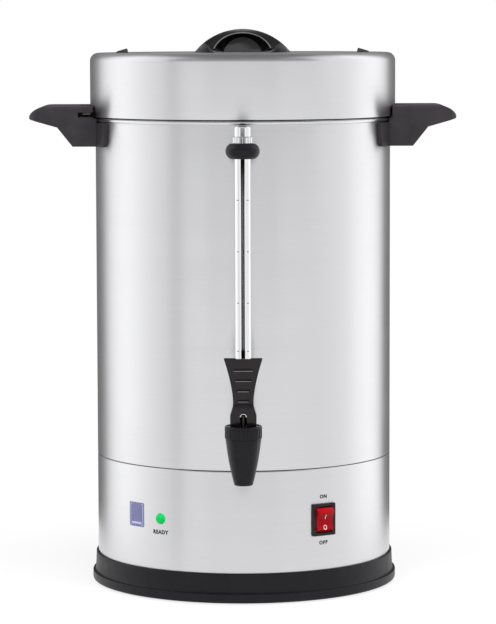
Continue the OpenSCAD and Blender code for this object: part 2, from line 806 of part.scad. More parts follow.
module gauge_bracket() {
    color(black) difference() {
        union() {
            translate([0, -gauge_y, bulb_z]) rotate_extrude() intersection() {
                translate([bulb_r - bulb_h / 2 - 1, 0]) circle(bulb_h / 2 + 1);
                translate([0, -bulb_h / 2]) square([bulb_r + 1, bulb_h]);
            }
            translate([0, -gauge_y, bulb_z - bulb_h / 2]) cylinder(r = bulb_r - 6, h = bulb_h);
            y_rod(6, -gauge_y + bulb_r - 5, -shell_r + 1, bulb_z);
        }
        translate([0, -gauge_y, bulb_z - bulb_h]) cylinder(r = guard_r + 0.02, h = 2 * bulb_h);
        y_rod(screw_r + 0.02, -gauge_y + guard_r + 3, -shell_r + 2, bulb_z);
        translate([0, 0, bulb_z - bulb_h]) cylinder(r = shell_r, h = 2 * bulb_h, $fn = 180);
    }
}

module bracket_screw() {
    color(bright) {
        y_rod(screw_head_r, -shell_in_r + 0.15, -shell_in_r + 0.15 + screw_head_t, bulb_z);
        y_rod(screw_r, -gauge_y + guard_r + 4, -shell_in_r + 0.2, bulb_z);
    }
}

module gauge_collar() {
    bottom = bulb_top;
    color(bright) translate([0, -gauge_y, 0]) difference() {
        translate([0, 0, bottom]) rotate_extrude() polygon([
            [0, 0], [collar_r - 0.8, 0], [collar_r, 0.8], [collar_r, collar_top - bottom - 0.8],
            [collar_r - 0.8, collar_top - bottom], [0, collar_top - bottom]]);
        translate([0, 0, bottom - 1]) cylinder(r = glass_r + hole_gap, h = collar_h + 2);
        translate([0, 0, bottom - 1]) cylinder(r = guard_r + 0.02, h = 1 + 1.5 + seat_gap);
        for (a = [0 : 15 : 345]) rotate([0, 0, a])
            translate([collar_r + 0.25, 0, bottom - 1]) cylinder(r = 0.7, h = collar_h + 2, $fn = 24);
    }
}

module gauge_cap() {
    color(bright) translate([0, -gauge_y, collar_top]) rotate_extrude() difference() {
        polygon(concat([[1, 0], [cap_r, 0]], arc(cap_r - 1.6, cap_h - 1.6, 1.6, 0, 90, 6), [[1, cap_h]]));
        translate([0, -1]) square([glass_r + 1.8, 1 + cap_h - 3.5]);
    }
}

// ---------------------------------------------------------------- tap

// Outline of the spout body from its mouth to the bonnet, slightly convex
function spout_outline(n = 16) = concat(
    [[0, mouth_z], [mouth_r - 1, mouth_z], [mouth_r - 0.3, mouth_z + 0.3]],
    [for (i = [0 : n]) let (t = i / n)
        [mix(mouth_r, bonnet_r - 0.7, t) + 0.8 * sin(180 * t), mix(mouth_z + 1, bonnet_z - 1.2, t)]],
    [[bonnet_r - 1.3, bonnet_z - 1.2], [bonnet_r - 1.3, bonnet_z], [0, bonnet_z]]);

module tap_body() {
    color(black) difference() {
        union() {
            translate([0, -tap_y, 0]) rotate_extrude() polygon(spout_outline());
            y_rod(collar_rear_r, -tap_y + chamber_r - 2, -block_front, shank_z);
        }
        translate([0, -tap_y, seat_z]) cylinder(r = chamber_r, h = bonnet_z - seat_z + 1);
        translate([0, -tap_y, mouth_z - 1]) cylinder(r = mouth_bore_r, h = seat_z - mouth_z + 2);
        y_rod(shank_r + run_gap, -tap_y + chamber_r - 2, -block_front + 1, shank_z);
    }
}

module tap_bonnet() {
    color(black) translate([0, -tap_y, 0]) difference() {
        union() {
            rotate_extrude() polygon([
                [0, bonnet_z], [bonnet_r, bonnet_z], [bonnet_r, bonnet_top - 0.8],
                [bonnet_r - 0.8, bonnet_top], [bonnet_r - 1.8, bonnet_top], [bonnet_r - 2.4, dish_z],
                [0, dish_z]]);
            translate([0, 0, plug_z]) cylinder(r = chamber_r - 0.02, h = bonnet_z - plug_z + 1);
        }
        translate([0, 0, plug_z - 1]) cylinder(r = stem_r + 0.08, h = bonnet_h + 10);
        for (i = [0 : flutes - 1]) rotate([0, 0, 360 * i / flutes])
            translate([bonnet_r + 0.7, 0, bonnet_z - 1]) cylinder(r = 1.3, h = bonnet_h - 0.6, $fn = 24);
    }
}

module tap_stem() {
    color(bright) translate([0, -tap_y, 0]) difference() {
        union() {
            translate([0, 0, seat_z + 1.2]) cylinder(r = stem_r, h = pin_z + 0.6 - seat_z - 1.2);
            translate([0, 0, pin_z + 0.6]) sphere(stem_r);
            translate([0, 0, seat_z + cup_h + 0.1]) cylinder(r = 7, h = 0.8);
            translate([0, 0, seat_z + 1.2]) cylinder(r = 4, h = 1);
        }
        rotate([0, 90, 0]) translate([-pin_z, 0, 0])
            cylinder(r = pin_r + run_gap, h = 4 * stem_r, center = true);
    }
}

module seat_cup() {
    color([0.85, 0.84, 0.8]) translate([0, -tap_y, seat_z + 0.1]) difference() {
        rotate_extrude() polygon([[0, 0], [mouth_bore_r + 2, 0], [mouth_bore_r + 2.4, 1.4],
                                  [6.4, cup_h], [0, cup_h]]);
        translate([0, 0, 1.1]) cylinder(r = stem_r + 0.02, h = cup_h);
        translate([0, 0, 1.08]) cylinder(r = 4.02, h = 1.04);
    }
}

// Sweeps a round wire along a helix
module coil(r, wire, turns, h, sides = 8, steps = 16) {
    n = round(turns * steps);
    points = [for (i = [0 : n], j = [0 : sides - 1])
        let (a = 360 * turns * i / n, b = 360 * j / sides, rr = r + wire * cos(b))
        [rr * cos(a), rr * sin(a), wire + (h - 2 * wire) * i / n + wire * sin(b)]];
    walls = [for (i = [0 : n - 1], j = [0 : sides - 1]) let (k = (j + 1) % sides)
        [i * sides + j, (i + 1) * sides + j, (i + 1) * sides + k, i * sides + k]];
    ends = [[for (j = [0 : sides - 1]) j], [for (j = [sides - 1 : -1 : 0]) n * sides + j]];
    polyhedron(points, concat(walls, ends), convexity = 4);
}

module tap_spring() {
    z0 = seat_z + cup_h + 0.9 + 0.15;
    color(bright) translate([0, -tap_y, z0]) coil(5, wire_r, spring_turns, plug_z - z0 - 0.15);
}

// ---------------------------------------------------------------- tap lever

// Half width of the blade at height z
function blade_half(z) = neck_half + (lever_half - neck_half) * pow(max(0, (z - neck_z) / (lever_top - neck_z)), 1.5);

// Half of the lever's front outline, from its fork to the middle of its top
function lever_side(n = 14) = concat(
    [[fork_half, lever_z], [fork_half, pin_z + 1.5], [fork_half - 0.6, pin_z + 3.5],
     [neck_half + 0.7, pin_z + 8], [neck_half, pin_z + 11]],
    [for (i = [0 : n]) let (z = mix(neck_z, lever_top - 0.6, i / n)) [blade_half(z), z]],
    [[lever_half - 0.7, lever_top], [7.5, lever_top - 0.1], [6, lever_top - 0.9]]);

module lever_front() {
    side = lever_side();
    last = len(side) - 1;
    polygon(concat(side, [for (i = [last : -1 : 0]) [-side[i][0], side[i][1]]]));
}

// Side outline of the lever in Y and Z, about the stem's axis
module lever_profile() {
    polygon(concat(
        [[heel_r - 1.4, lever_z], [heel_r - 0.2, lever_z + 2]],
        arc(0, pin_z, heel_r, 0, 30, 4),
        [[heel_r - 1.2, pin_z + heel_r + 1.4], [1.2, neck_z - 3], [-0.6, neck_z + 3],
         [blade_t - blade_lean - 1.5, lever_top - 0.6], [blade_t - blade_lean - 2.1, lever_top],
         [0.8 - blade_lean, lever_top], [-blade_lean, lever_top - 0.8],
         [-blade_t - 0.7, neck_z + 2]],
        arc(-knuckle_r * 0.6, pin_z + knuckle_r * 4 / 3, knuckle_r, 120, 215, 8),
        [[-fork_front, pin_z - 4], [0.6 - fork_front, lever_z + 1.2],
         [1.3 - fork_front, lever_z + 0.2], [1.7 - fork_front, lever_z]]));
}

module tap_lever() {
    slot = stem_r + 0.65;
    color(black) translate([0, -tap_y, 0]) difference() {
        intersection() {
            rotate([90, 0, 0]) linear_extrude(60, center = true) lever_front();
            rotate([90, 0, 90]) linear_extrude(60, center = true) lever_profile();
        }
        // Slot in the fork that the stem's head turns in
        y_rod(slot + 0.4, -20, slot + 0.4, pin_z);
        translate([-slot, -20, lever_z - 1]) cube([2 * slot, 20 + slot, pin_z - lever_z + 1]);
        rotate([0, 90, 0]) translate([-pin_z, 0, 0]) cylinder(r = pin_r + 0.02, h = 60, center = true);
        // Grip grooves
        for (i = [0 : grooves - 1]) {
            z = groove_top - i * groove_pitch;
            half = blade_half(z) * 0.6;
            face = -mix(blade_t + 0.7, blade_lean, (z - neck_z - 2) / (lever_top - neck_z - 2));
            translate([-half, face - groove_r * 0.3, z]) rotate([0, 90, 0]) cylinder(r = groove_r, h = 2 * half);
        }
    }
}

module lever_pin() {
    color(bright) translate([0, -tap_y, pin_z]) rotate([0, 90, 0])
        cylinder(r = pin_r, h = 2 * fork_half - 0.8, center = true);
}

// ---------------------------------------------------------------- shank

module tap_shank() {
    color(bright) difference() {
        y_rod(shank_r, -tap_y + chamber_r + 0.4, -tank_in_r + washer_t + shank_nut_h + 4, shank_z);
        y_rod(shank_bore_r, -tap_y, -tank_in_r + 40, shank_z);
        translate([0, -gauge_y, shank_z]) cylinder(r = glass_r - glass_t, h = 2 * shank_r);
    }
}

module shank_nut() {
    color(bright) difference() {
        y_hex(24, -tank_in_r + washer_t + 0.1, -tank_in_r + washer_t + shank_nut_h, shank_z);
        y_rod(shank_r + 0.02, -shell_r, -tank_in_r + 20, shank_z);
    }
}

// Silicone washers inside the tank and outside the shell
module shank_washers() {
    color([0.85, 0.84, 0.8]) {
        difference() {
            intersection() {
                y_rod(13, -shell_r, -tank_in_r + washer_t, shank_z);
                cylinder(r = tank_in_r, h = 2 * shank_z, $fn = 180);
            }
            y_rod(shank_r + 0.02, -shell_r - 1, -tank_in_r + 9, shank_z);
        }
        difference() {
            y_rod(11.5, -shell_r - washer_t, -shell_r + 2, shank_z);
            y_rod(shank_r + 0.02, -shell_r - 9, -shell_r + 9, shank_z);
            cylinder(r = shell_r, h = 2 * shank_z, $fn = 180);
        }
    }
}

module shank_spacer() {
    color(black) difference() {
        intersection() {
            y_rod(11.5, -shell_r, -tank_out_r + 4, shank_z);
            ring(tank_out_r, shell_in_r, shank_z - 20, 40);
        }
        y_rod(shank_r + 0.02, -shell_r - 1, -tank_out_r + 9, shank_z);
    }
}

// ---------------------------------------------------------------- controls

module switch_housing() {
    window_h = 2 * rocker_r + 0.6;
    color(black) on_skirt(switch_az, switch_z) difference() {
        union() {
            difference() {
                translate([0, 4, 0]) rotate([90, 0, 0]) linear_extrude(4 + bezel_t)
                    round_rect(bezel_w, bezel_h, 1.2);
                skirt_core();
            }
            translate([0, 0.01, 0]) translate([-switch_box_w / 2, -0.5, -switch_box_h / 2])
                cube([switch_box_w, switch_depth, switch_box_h]);
        }
        translate([-rocker_w / 2 - 0.3, -9, -window_h / 2]) cube([rocker_w + 0.6, 20, window_h]);
        rotate([0, 90, 0]) translate([0, pivot_y, 0])
            cylinder(r = pivot_r + run_gap, h = rocker_w + 2.4, center = true);
    }
}

module switch_rocker() {
    lip = 2.4;
    face_z = sqrt(pow(rocker_r, 2) - pow(pivot_y + bezel_t + lip, 2));
    low_z = sqrt(pow(rocker_r, 2) - pow(1.5, 2));
    end = atan2(face_z, pivot_y + bezel_t + lip);
    color([0.78, 0.06, 0.1]) on_skirt(switch_az, switch_z) translate([0, pivot_y, 0])
        rotate([rocker_tilt, 0, 0]) {
            rotate([90, 0, 90]) linear_extrude(rocker_w, center = true) polygon(concat(
                [[-pivot_y - 1.5, 0]],
                arc(0, 0, rocker_r, 180 - end, 97, 6),
                [[2, 6], [4.5, 3], [4.5, -3], [2, -6]],
                arc(0, 0, rocker_r, 263, 180 + end, 6)));
            rotate([0, 90, 0]) cylinder(r = pivot_r, h = rocker_w + 2, center = true);
        }
}

module switch_terminals() {
    color([0.8, 0.7, 0.4]) on_skirt(switch_az, switch_z)
        for (z = [-7, 0, 7]) translate([-3.15, switch_depth - 0.49, z - 0.4]) cube([6.3, 8, 0.8]);
}

module lamp_lens() {
    dome_r = (lens_r * lens_r + lens_rise * lens_rise) / (2 * lens_rise);
    color([0, 0.7, 0.35]) on_skirt(-lamp_az, lamp_z) {
        difference() {
            rotate([90, 0, 0]) rotate_extrude() intersection() {
                union() {
                    translate([0, lens_rise - dome_r]) circle(dome_r, $fn = 120);
                    translate([0, -3]) square([lens_r, 3]);
                }
                translate([0, -1]) square([lens_r, lens_rise + 2]);
            }
            skirt_core();
        }
        y_rod(lamp_stem_r, -0.2, 5);
    }
}

module lamp_body() {
    color(black) on_skirt(-lamp_az, lamp_z) difference() {
        union() {
            y_rod(lamp_stem_r + 1.4, sheet_t + 0.3, 22);
            y_rod(lamp_stem_r + 3.6, sheet_t + 0.5, 3.4);
        }
        y_rod(lamp_stem_r + 0.02, -1, 5.2);
        y_rod(lamp_stem_r - 0.6, 5, 19);
    }
}

// Plate over the skirt's slot, with the strain relief's sleeve
module cord_gland() {
    sleeve = gland_bore_r + 5;
    color(black) on_skirt(180, gland_z) difference() {
        union() {
            difference() {
                translate([0, 2, (14 - gland_plate[1] + 14) / 2]) rotate([90, 0, 0])
                    linear_extrude(2 + gland_plate_t) round_rect(gland_plate[0], gland_plate[1], 4);
                skirt_core();
            }
            rotate([90, 0, 0]) rotate_extrude() polygon([
                [0, 0], [sleeve + 1, 0], [sleeve + 1, gland_plate_t], [sleeve, gland_plate_t + 1],
                [sleeve - 0.6, gland_out - 2.5], [sleeve - 2.2, gland_out], [0, gland_out]]);
            y_rod(gland_thread_r, -1, gland_length - gland_out);
        }
        y_rod(gland_bore_r, -gland_out - 1, gland_length);
    }
}

module gland_nut() {
    color(black) on_skirt(180, gland_z) difference() {
        y_hex(22, sheet_t + 0.6, sheet_t + 5.4);
        y_rod(gland_thread_r + 0.02, -1, 12);
    }
}

module terminal_block() {
    color([0.9, 0.9, 0.86]) translate([-22, 40, web_z]) difference() {
        cube([44, 18, 13]);
        for (i = [0 : 3]) {
            translate([5.5 + 11 * i, 4.5, 5]) cylinder(r = 2.6, h = 10);
            translate([5.5 + 11 * i, 13.5, 5]) cylinder(r = 2.6, h = 10);
        }
    }
}

// ---------------------------------------------------------------- heaters

module brew_heater() {
    r = well_r + sheet_t + 0.02;
    color([0.6, 0.6, 0.62]) ring(r, r + brew_band_t, well_floor_z - 2, brew_band_h);
}

module warm_heater() {
    color([0.6, 0.6, 0.62]) ring(element_r - element_w / 2, element_r + element_w / 2,
                                 tank_under_z - element_w, element_w);
}

module heater_bracket() {
    color(steel) difference() {
        ring(bracket_in_r, element_r + element_w / 2 + 4, bracket_z, bracket_t);
        bracket_screw_places() translate([0, 0, -1]) cylinder(r = screw_r + hole_gap, h = bracket_t + 2);
        thermostat_place() translate([-blade_w / 2 - 1, -blade_space - 2, -5])
            cube([blade_w + 2, 2 * blade_space + 4, 10]);
    }
}

module bracket_screw_places() {
    for (a = [30 : 120 : 270]) rotate([0, 0, a]) translate([thermostat_circle_r, 0, bracket_z]) children();
}

module bracket_screws() {
    color(bright) bracket_screw_places() {
        translate([0, 0, -screw_head_t]) cylinder(r = screw_head_r, h = screw_head_t);
        translate([0, 0, -0.1]) cylinder(r = screw_r, h = bracket_t + element_w);
    }
}

module thermostat_place() {
    rotate([0, 0, 90]) translate([thermostat_circle_r, 0, tank_under_z - element_w]) children();
}

// Snap disc with two blade terminals
module thermostat() {
    color(black) thermostat_place() {
        cylinder(r = thermostat_r, h = element_w);
        for (y = [-1, 1]) translate([-blade_w / 2, y * blade_space - 0.4, -7]) cube([blade_w, 0.8, 7.5]);
    }
}

module thermal_fuse() {
    color(bright) rotate([0, 0, -30]) translate([thermostat_circle_r, 0, tank_under_z - element_w / 2]) {
        rotate([90, 0, 0]) cylinder(r = element_w / 2, h = 18, center = true);
        rotate([90, 0, 0]) cylinder(r = 0.8, h = 34, center = true);
    }
}

// ---------------------------------------------------------------- percolator

module pump_base() {
    color(bright) {
        difference() {
            translate([0, 0, pump_plate_z]) cylinder(r = bell_r, h = pump_plate_t);
            for (a = [0 : 45 : 315]) rotate([0, 0, a])
                translate([11, 0, pump_plate_z - 1]) cylinder(r = 2.2, h = pump_plate_t + 2);
        }
        for (a = [0 : 90 : 270]) rotate([0, 0, a])
            translate([bell_r - 5, 0, well_floor_z]) cylinder(r = 2, h = pump_foot_h + 0.1);
        translate([0, 0, pump_plate_z]) cylinder(r = guide_pin_r, h = guide_top - pump_plate_z + 0.5);
        translate([0, 0, guide_top]) cylinder(r = 3, h = 1);
    }
}

module pump_valve() {
    color(steel) difference() {
        translate([0, 0, valve_z]) cylinder(r = 16, h = valve_t);
        translate([0, 0, valve_z - 1]) cylinder(r = guide_pin_r + 0.08, h = valve_t + 2);
    }
}

// Bell foot, tube and the collar that carries the basket
module pump_tube() {
    z0 = pump_plate_z + pump_plate_t;
    shoulder = z0 + valve_travel + 5;
    color(bright) rotate_extrude() polygon(concat(
        [[bell_r, z0]],
        arc(bell_r - 4, shoulder, 4, 0, 60, 5),
        [[tube_r + 1.5, shoulder + 12], [tube_r, shoulder + 15],
         [tube_r, basket_z - 4], [tube_r + 5, basket_z - 2], [tube_r + 5, basket_z - 0.3],
         [tube_r, basket_z - 0.3], [tube_r, tube_top],
         [tube_r - sheet_t, tube_top], [tube_r - sheet_t, shoulder + 15],
         [tube_r + 0.7, shoulder + 12 - 0.4]],
        arc(bell_r - 4, shoulder, 4 - sheet_t, 60, 0, 5),
        [[bell_r - sheet_t, z0]]));
}

module filter_basket() {
    hub_r = tube_r + 0.8;
    color(bright) difference() {
        rotate_extrude($fn = 120) {
            polygon([[hub_r, basket_z], [basket_r, basket_z], [basket_r, basket_top],
                     [basket_r - sheet_t, basket_top], [basket_r - sheet_t, basket_z + sheet_t],
                     [hub_r + sheet_t, basket_z + sheet_t], [hub_r + sheet_t, basket_top - 8],
                     [hub_r, basket_top - 8]]);
            translate([basket_r, basket_top - 1.5]) square([1.5, 1.5]);
        }
        for (k = [1 : 2], a = [0 : 45 / k : 359]) rotate([0, 0, a])
            translate([basket_r * (0.12 + 0.3 * k), 0, basket_z - 1]) cylinder(r = 2, h = 3, $fn = 16);
    }
}

module basket_cover() {
    cover_r = basket_r + 1.2;
    z = basket_top + seat_gap;
    color(bright) difference() {
        rotate_extrude($fn = 120) polygon([
            [tube_r + 0.8, z + 5], [cover_r - 14, z + 5], [cover_r - 6, z], [cover_r, z],
            [cover_r, z + sheet_t], [cover_r - 5.6, z + sheet_t], [cover_r - 13.6, z + 5 + sheet_t],
            [tube_r + 0.8, z + 5 + sheet_t]]);
        for (k = [1 : 3], a = [0 : 45 / k : 359]) rotate([0, 0, a])
            translate([basket_r * (0.12 + 0.22 * k), 0, z]) cylinder(r = 1.6, h = 12, $fn = 16);
    }
}

outer_shell();
base_skirt();
tank_wall();
tank_floor();
base_ring();
base_plate();
foot_ring();
foot_screws();
tank_studs();
stud_nuts();
lid_cover();
lid_lugs();
lid_ledge_ring();
lid_gasket();
lid_knob();
knob_screws();
lid_pointers();
handle_left();
handle_right();
handle_screws();
gauge_block();
gauge_nut();
gauge_seal();
gauge_glass();
gauge_guard();
gauge_bracket();
bracket_screw();
gauge_collar();
gauge_cap();
tap_body();
tap_bonnet();
tap_stem();
seat_cup();
tap_spring();
tap_lever();
lever_pin();
tap_shank();
shank_nut();
shank_washers();
shank_spacer();
switch_housing();
switch_rocker();
switch_terminals();
lamp_lens();
lamp_body();
cord_gland();
gland_nut();
terminal_block();
brew_heater();
warm_heater();
heater_bracket();
bracket_screws();
thermostat();
thermal_fuse();
pump_tube();
pump_base();
pump_valve();
filter_basket();
basket_cover();
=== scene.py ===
import json
import math

import bmesh
import bpy
from mathutils import Matrix, Vector
from mathutils.bvhtree import BVHTree

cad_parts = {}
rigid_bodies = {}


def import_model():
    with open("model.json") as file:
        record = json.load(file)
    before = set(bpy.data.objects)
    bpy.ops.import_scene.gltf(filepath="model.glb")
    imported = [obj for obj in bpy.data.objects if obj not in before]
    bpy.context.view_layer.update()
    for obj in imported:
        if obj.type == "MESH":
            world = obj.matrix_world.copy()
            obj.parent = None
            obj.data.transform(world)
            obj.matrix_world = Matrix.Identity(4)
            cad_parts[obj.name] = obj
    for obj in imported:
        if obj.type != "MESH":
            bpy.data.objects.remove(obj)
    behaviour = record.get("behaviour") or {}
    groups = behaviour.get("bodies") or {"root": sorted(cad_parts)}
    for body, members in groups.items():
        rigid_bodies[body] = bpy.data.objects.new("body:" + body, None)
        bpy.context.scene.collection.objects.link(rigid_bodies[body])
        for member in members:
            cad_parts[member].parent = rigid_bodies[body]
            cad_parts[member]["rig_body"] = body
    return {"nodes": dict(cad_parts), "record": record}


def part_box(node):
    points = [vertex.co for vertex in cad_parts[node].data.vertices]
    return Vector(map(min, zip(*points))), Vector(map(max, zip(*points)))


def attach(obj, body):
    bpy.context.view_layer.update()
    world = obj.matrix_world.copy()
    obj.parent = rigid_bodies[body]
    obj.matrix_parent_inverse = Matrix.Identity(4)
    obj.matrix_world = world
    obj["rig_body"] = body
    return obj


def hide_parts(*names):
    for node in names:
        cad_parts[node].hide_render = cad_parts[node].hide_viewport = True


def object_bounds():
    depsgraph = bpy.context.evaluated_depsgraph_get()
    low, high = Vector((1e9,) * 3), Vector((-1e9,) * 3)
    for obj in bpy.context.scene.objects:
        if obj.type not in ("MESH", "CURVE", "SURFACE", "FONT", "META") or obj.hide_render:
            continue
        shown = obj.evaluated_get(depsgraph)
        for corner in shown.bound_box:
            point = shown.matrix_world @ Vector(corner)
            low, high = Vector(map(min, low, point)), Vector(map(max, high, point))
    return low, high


bl_info = {
    "name": "Coffee urn dresser",
    "version": (1, 0, 0),
    "blender": (4, 5, 0),
    "location": "3D View > Sidebar > Coffee urn",
    "description": "Finishes, fine forms and stage for a tapped coffee urn",
    "category": "Object",
}

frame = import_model()
CAD_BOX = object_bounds()
MM = 0.001
LOW = {name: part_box(name)[0] for name in frame["nodes"]}
HIGH = {name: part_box(name)[1] for name in frame["nodes"]}

# Sizes that the fine forms share with the frame, in metres
WALL_R = HIGH["outer_shell"].x
LID_R = HIGH["lid_cover"].x
GAUGE_Y = (LOW["gauge_glass"].y + HIGH["gauge_glass"].y) / 2
FRONT = math.radians(-90)
SWITCH_AZ, SWITCH_Z = math.radians(31.65), 77.9 * MM
LAMP_AZ, LAMP_Z = math.radians(-33.4), 78.5 * MM
LABEL_AZ, LABEL_Z = math.radians(-45.4), 79.85 * MM
# Holes in the outer wall: tap, gauge bracket and handle screws.
# Angle from the front in degrees, height and radius in mm
WALL_HOLES = ((0, 157, 8.3), (0, 432, 2.3), *((az, 441, 2.3) for az in (82, 98, 262, 278)))
# Opening for the switch in the skirt, and the slot that the wired gland slides in by
SWITCH_OPENING = (22.2 * MM, 28.2 * MM, 12 * MM)
GLAND_SLOT = (15.8 * MM, 59.9 * MM, 12 * MM)
LAMP_HOLE_R = 4.45 * MM
# The wall and the skirt meet at an open seam of this height
SEAM_GAP = 0.5 * MM
# The knob's finger scoops open farther than this from its middle
SCOOP_SIDE = 9 * MM
# Dark strip behind the sight glass, painted shade for the slot in the guard: inner and outer
# radius, and its arc in degrees
SLOT_SHADE = (6.0 * MM, 6.5 * MM)
SLOT_SHADE_ARC = (12, 168)
# Cup marks of the gauge: heights in mm, and the arcs that they cover in degrees
CUP_MARKS = (386.7, 338.6, 290.5, 245.4)
MARK_ARCS = ((-135, -118), (-62, -45))
# Grip grooves of the lever: half widths in mm from the top, first depth and pitch
GROOVE_HALVES = (8.9, 7.4, 5.4, 4.6)
GROOVE_FIRST, GROOVE_PITCH = 10.9, 9.7
# Eyelet in the lever's keyhole: radius, radius of its wire, distance in front of the pin
EYELET_R, EYELET_WIRE, EYELET_FRONT = 3.1 * MM, 0.42 * MM, 7.8 * MM
# Edge of the rocker in mm: place along it and height above the pivot
ROCKER_END = ((-12.05, 0.6), (-12.0, 3.3), (-11.6, 4.3))
ROCKER_TILT = math.radians(9)
# Marks on the rocker in mm: places up its line, radii and height of its ring
LINE_PLACES = (1.5, 2.3, 3.1, 3.9, 4.7, 5.5, 6.2)
RING_RADII, RING_Y = (2.15, 1.5), -6.2
# Ink is this thick; text is set larger than its capitals and its strokes are thickened
INK_THICK = 0.03 * MM
TEXT_SIZE, TEXT_WEIGHT = 1.42, 0.26 * MM
# Legends: name, words, angle, height, share of the print height, letter spacing
LEGENDS = (
    ("print_on", "ON", SWITCH_AZ, 99.9 * MM, 0.92, 1.16),
    ("print_off", "OFF", SWITCH_AZ, 55.4 * MM, 0.92, 1.22),
    ("print_ready", "READY", LAMP_AZ, 65.4 * MM, 1.0, 1.12),
)
# Turned forms have this many sides, and edges sharper than this angle are rounded
TURNED_STEPS = 288
ROUNDED_ANGLE = math.radians(28)


def srgb(code):
    """Turns an sRGB hex value into linear red, green and blue."""
    parts = [int(code[k : k + 2], 16) / 255 for k in (1, 3, 5)]
    return [p / 12.92 if p <= 0.04045 else ((p + 0.055) / 1.055) ** 2.4 for p in parts]


def length(name, description, default, low=0.0, high=1.0):
    """A length a user may change, shown in scene units."""
    return bpy.props.FloatProperty(
        name=name,
        description=description,
        default=default,
        min=low,
        max=high,
        precision=5,
        unit="LENGTH",
        subtype="DISTANCE",
    )


def colour(name, description, code):
    """A colour a user may change, given as an sRGB hex value."""
    return bpy.props.FloatVectorProperty(
        name=name,
        description=description,
        default=srgb(code),
        min=0.0,
        max=1.0,
        size=3,
        subtype="COLOR",
    )


# ---------------------------------------------------------------- settings


class UrnSheetSizes(bpy.types.PropertyGroup):
    """Sizes of the sheet metal forms."""

    sheet: length("Sheet", "Thickness of the stainless sheet", 0.8 * MM, 0.3 * MM, 2 * MM)
    lid_edge: length("Lid edge", "Radius of the lid's drawn top edge", 8 * MM, 2 * MM, 20 * MM)
    seam_roll: length("Seam roll", "Rounding of the skirt's upper edge", 1.4 * MM, 0.2 * MM, 3 * MM)
    hem_lift: length("Hem lift", "Gap that shows under the lid's hem", 0.5 * MM, 0, 1.5 * MM)


class UrnMouldingSizes(bpy.types.PropertyGroup):
    """Sizes of the moulded forms."""

    handle_edge: length("Handle edge", "Rounding of the handles' edges", 1.0 * MM, 0, 3 * MM)
    knob_edge: length("Knob edge", "Rounding of the knob's edges", 0.9 * MM, 0, 3 * MM)
    knob_bead: length(
        "Knob bead", "Radius of the bead round each finger scoop", 0.6 * MM, 0.1 * MM, 2 * MM
    )
    lever_edge: length("Lever edge", "Rounding of the tap lever's edges", 0.5 * MM, 0, 2 * MM)
    bezel_edge: length("Bezel edge", "Rounding of the switch's bezel", 0.35 * MM, 0, 1 * MM)
    base_edge: length("Base edge", "Rounding of the base ring's edges", 0.5 * MM, 0, 2 * MM)
    rocker_width: length(
        "Rocker width", "Width of the switch's rocker", 17.9 * MM, 10 * MM, 18.2 * MM
    )
    rocker_edge: length("Rocker edge", "Rounding of the rocker's edges", 0.5 * MM, 0.1 * MM, 1 * MM)
    label_width: length("Label width", "Width of the blank label", 20.2 * MM, 5 * MM, 40 * MM)
    label_height: length("Label height", "Height of the blank label", 23.5 * MM, 5 * MM, 40 * MM)
    print_height: length("Print height", "Height of the capitals", 3.6 * MM, 1 * MM, 9 * MM)


class UrnFinishes(bpy.types.PropertyGroup):
    """Colours of the materials."""

    steel: colour("Stainless steel", "Brushed and polished sheet", "#d6d6d8")
    chrome: colour("Chrome", "Plated gauge fittings", "#e6e6e8")
    zinc: colour("Zinc", "Plated nuts and screws", "#c3c5c6")
    aluminium: colour("Aluminium", "Heater plates", "#c8c8c8")
    brass: colour("Brass", "Terminals and shank", "#cfae62")
    base: colour("Base moulding", "Black phenolic of the base ring", "#0e0e12")
    handle: colour("Handles", "Charcoal filled nylon", "#2b282b")
    knob: colour("Knob", "Glossy black phenolic", "#09090b")
    tap: colour("Tap", "Black polypropylene", "#0f0f13")
    lever: colour("Lever", "Charcoal filled nylon", "#140f12")
    switch: colour("Switch bezel", "Black ABS", "#1a171a")
    rocker: colour("Rocker", "Red polycarbonate", "#96030f")
    lens: colour("Lamp lens", "Green polycarbonate", "#00b252")
    ink: colour("Print", "Screen-printed legends", "#1a1a1c")
    label: colour("Label", "Blank foil label", "#62648f")
    label_line: colour("Label lines", "Frame and foot of the blank label", "#aeb0d4")


class UrnStage(bpy.types.PropertyGroup):
    """The stage and the camera."""

    lens: bpy.props.FloatProperty(
        name="Lens", description="Focal length", default=172.7, min=20, max=400, unit="CAMERA"
    )
    distance: length("Distance", "Camera distance from the urn's axis", 2.955, 0.5, 10)
    height: length("Height", "Camera height above the floor", 0.551, 0, 5)
    tilt: bpy.props.FloatProperty(
        name="Tilt",
        description="How far the camera looks down",
        default=math.radians(5.52),
        min=0,
        max=1,
        subtype="ANGLE",
    )


SETTINGS = {
    "urn_sheet": UrnSheetSizes,
    "urn_moulding": UrnMouldingSizes,
    "urn_finishes": UrnFinishes,
    "urn_stage": UrnStage,
}


# --------------------------------------------------------------- materials


def new_material(name):
    """A new material with no nodes yet."""
    material = bpy.data.materials.new(name)
    material.use_nodes = True
    material.node_tree.nodes.clear()
    return material


def add_node(material, kind, sockets=None, **settings):
    """Adds a node with its settings; a socket takes a value, or another node's output."""
    tree = material.node_tree
    node = tree.nodes.new(kind)
    for name, value in settings.items():
        setattr(node, name, value)
    for name, value in (sockets or {}).items():
        if isinstance(value, bpy.types.NodeSocket):
            tree.links.new(value, node.inputs[name])
        else:
            node.inputs[name].default_value = value
    return node


def shade(material, surface):
    """Ends a material on its surface shader."""
    add_node(material, "ShaderNodeOutputMaterial", {"Surface": surface})
    return material


def rgba(values):
    """A colour without transparency."""
    return (*values, 1.0)


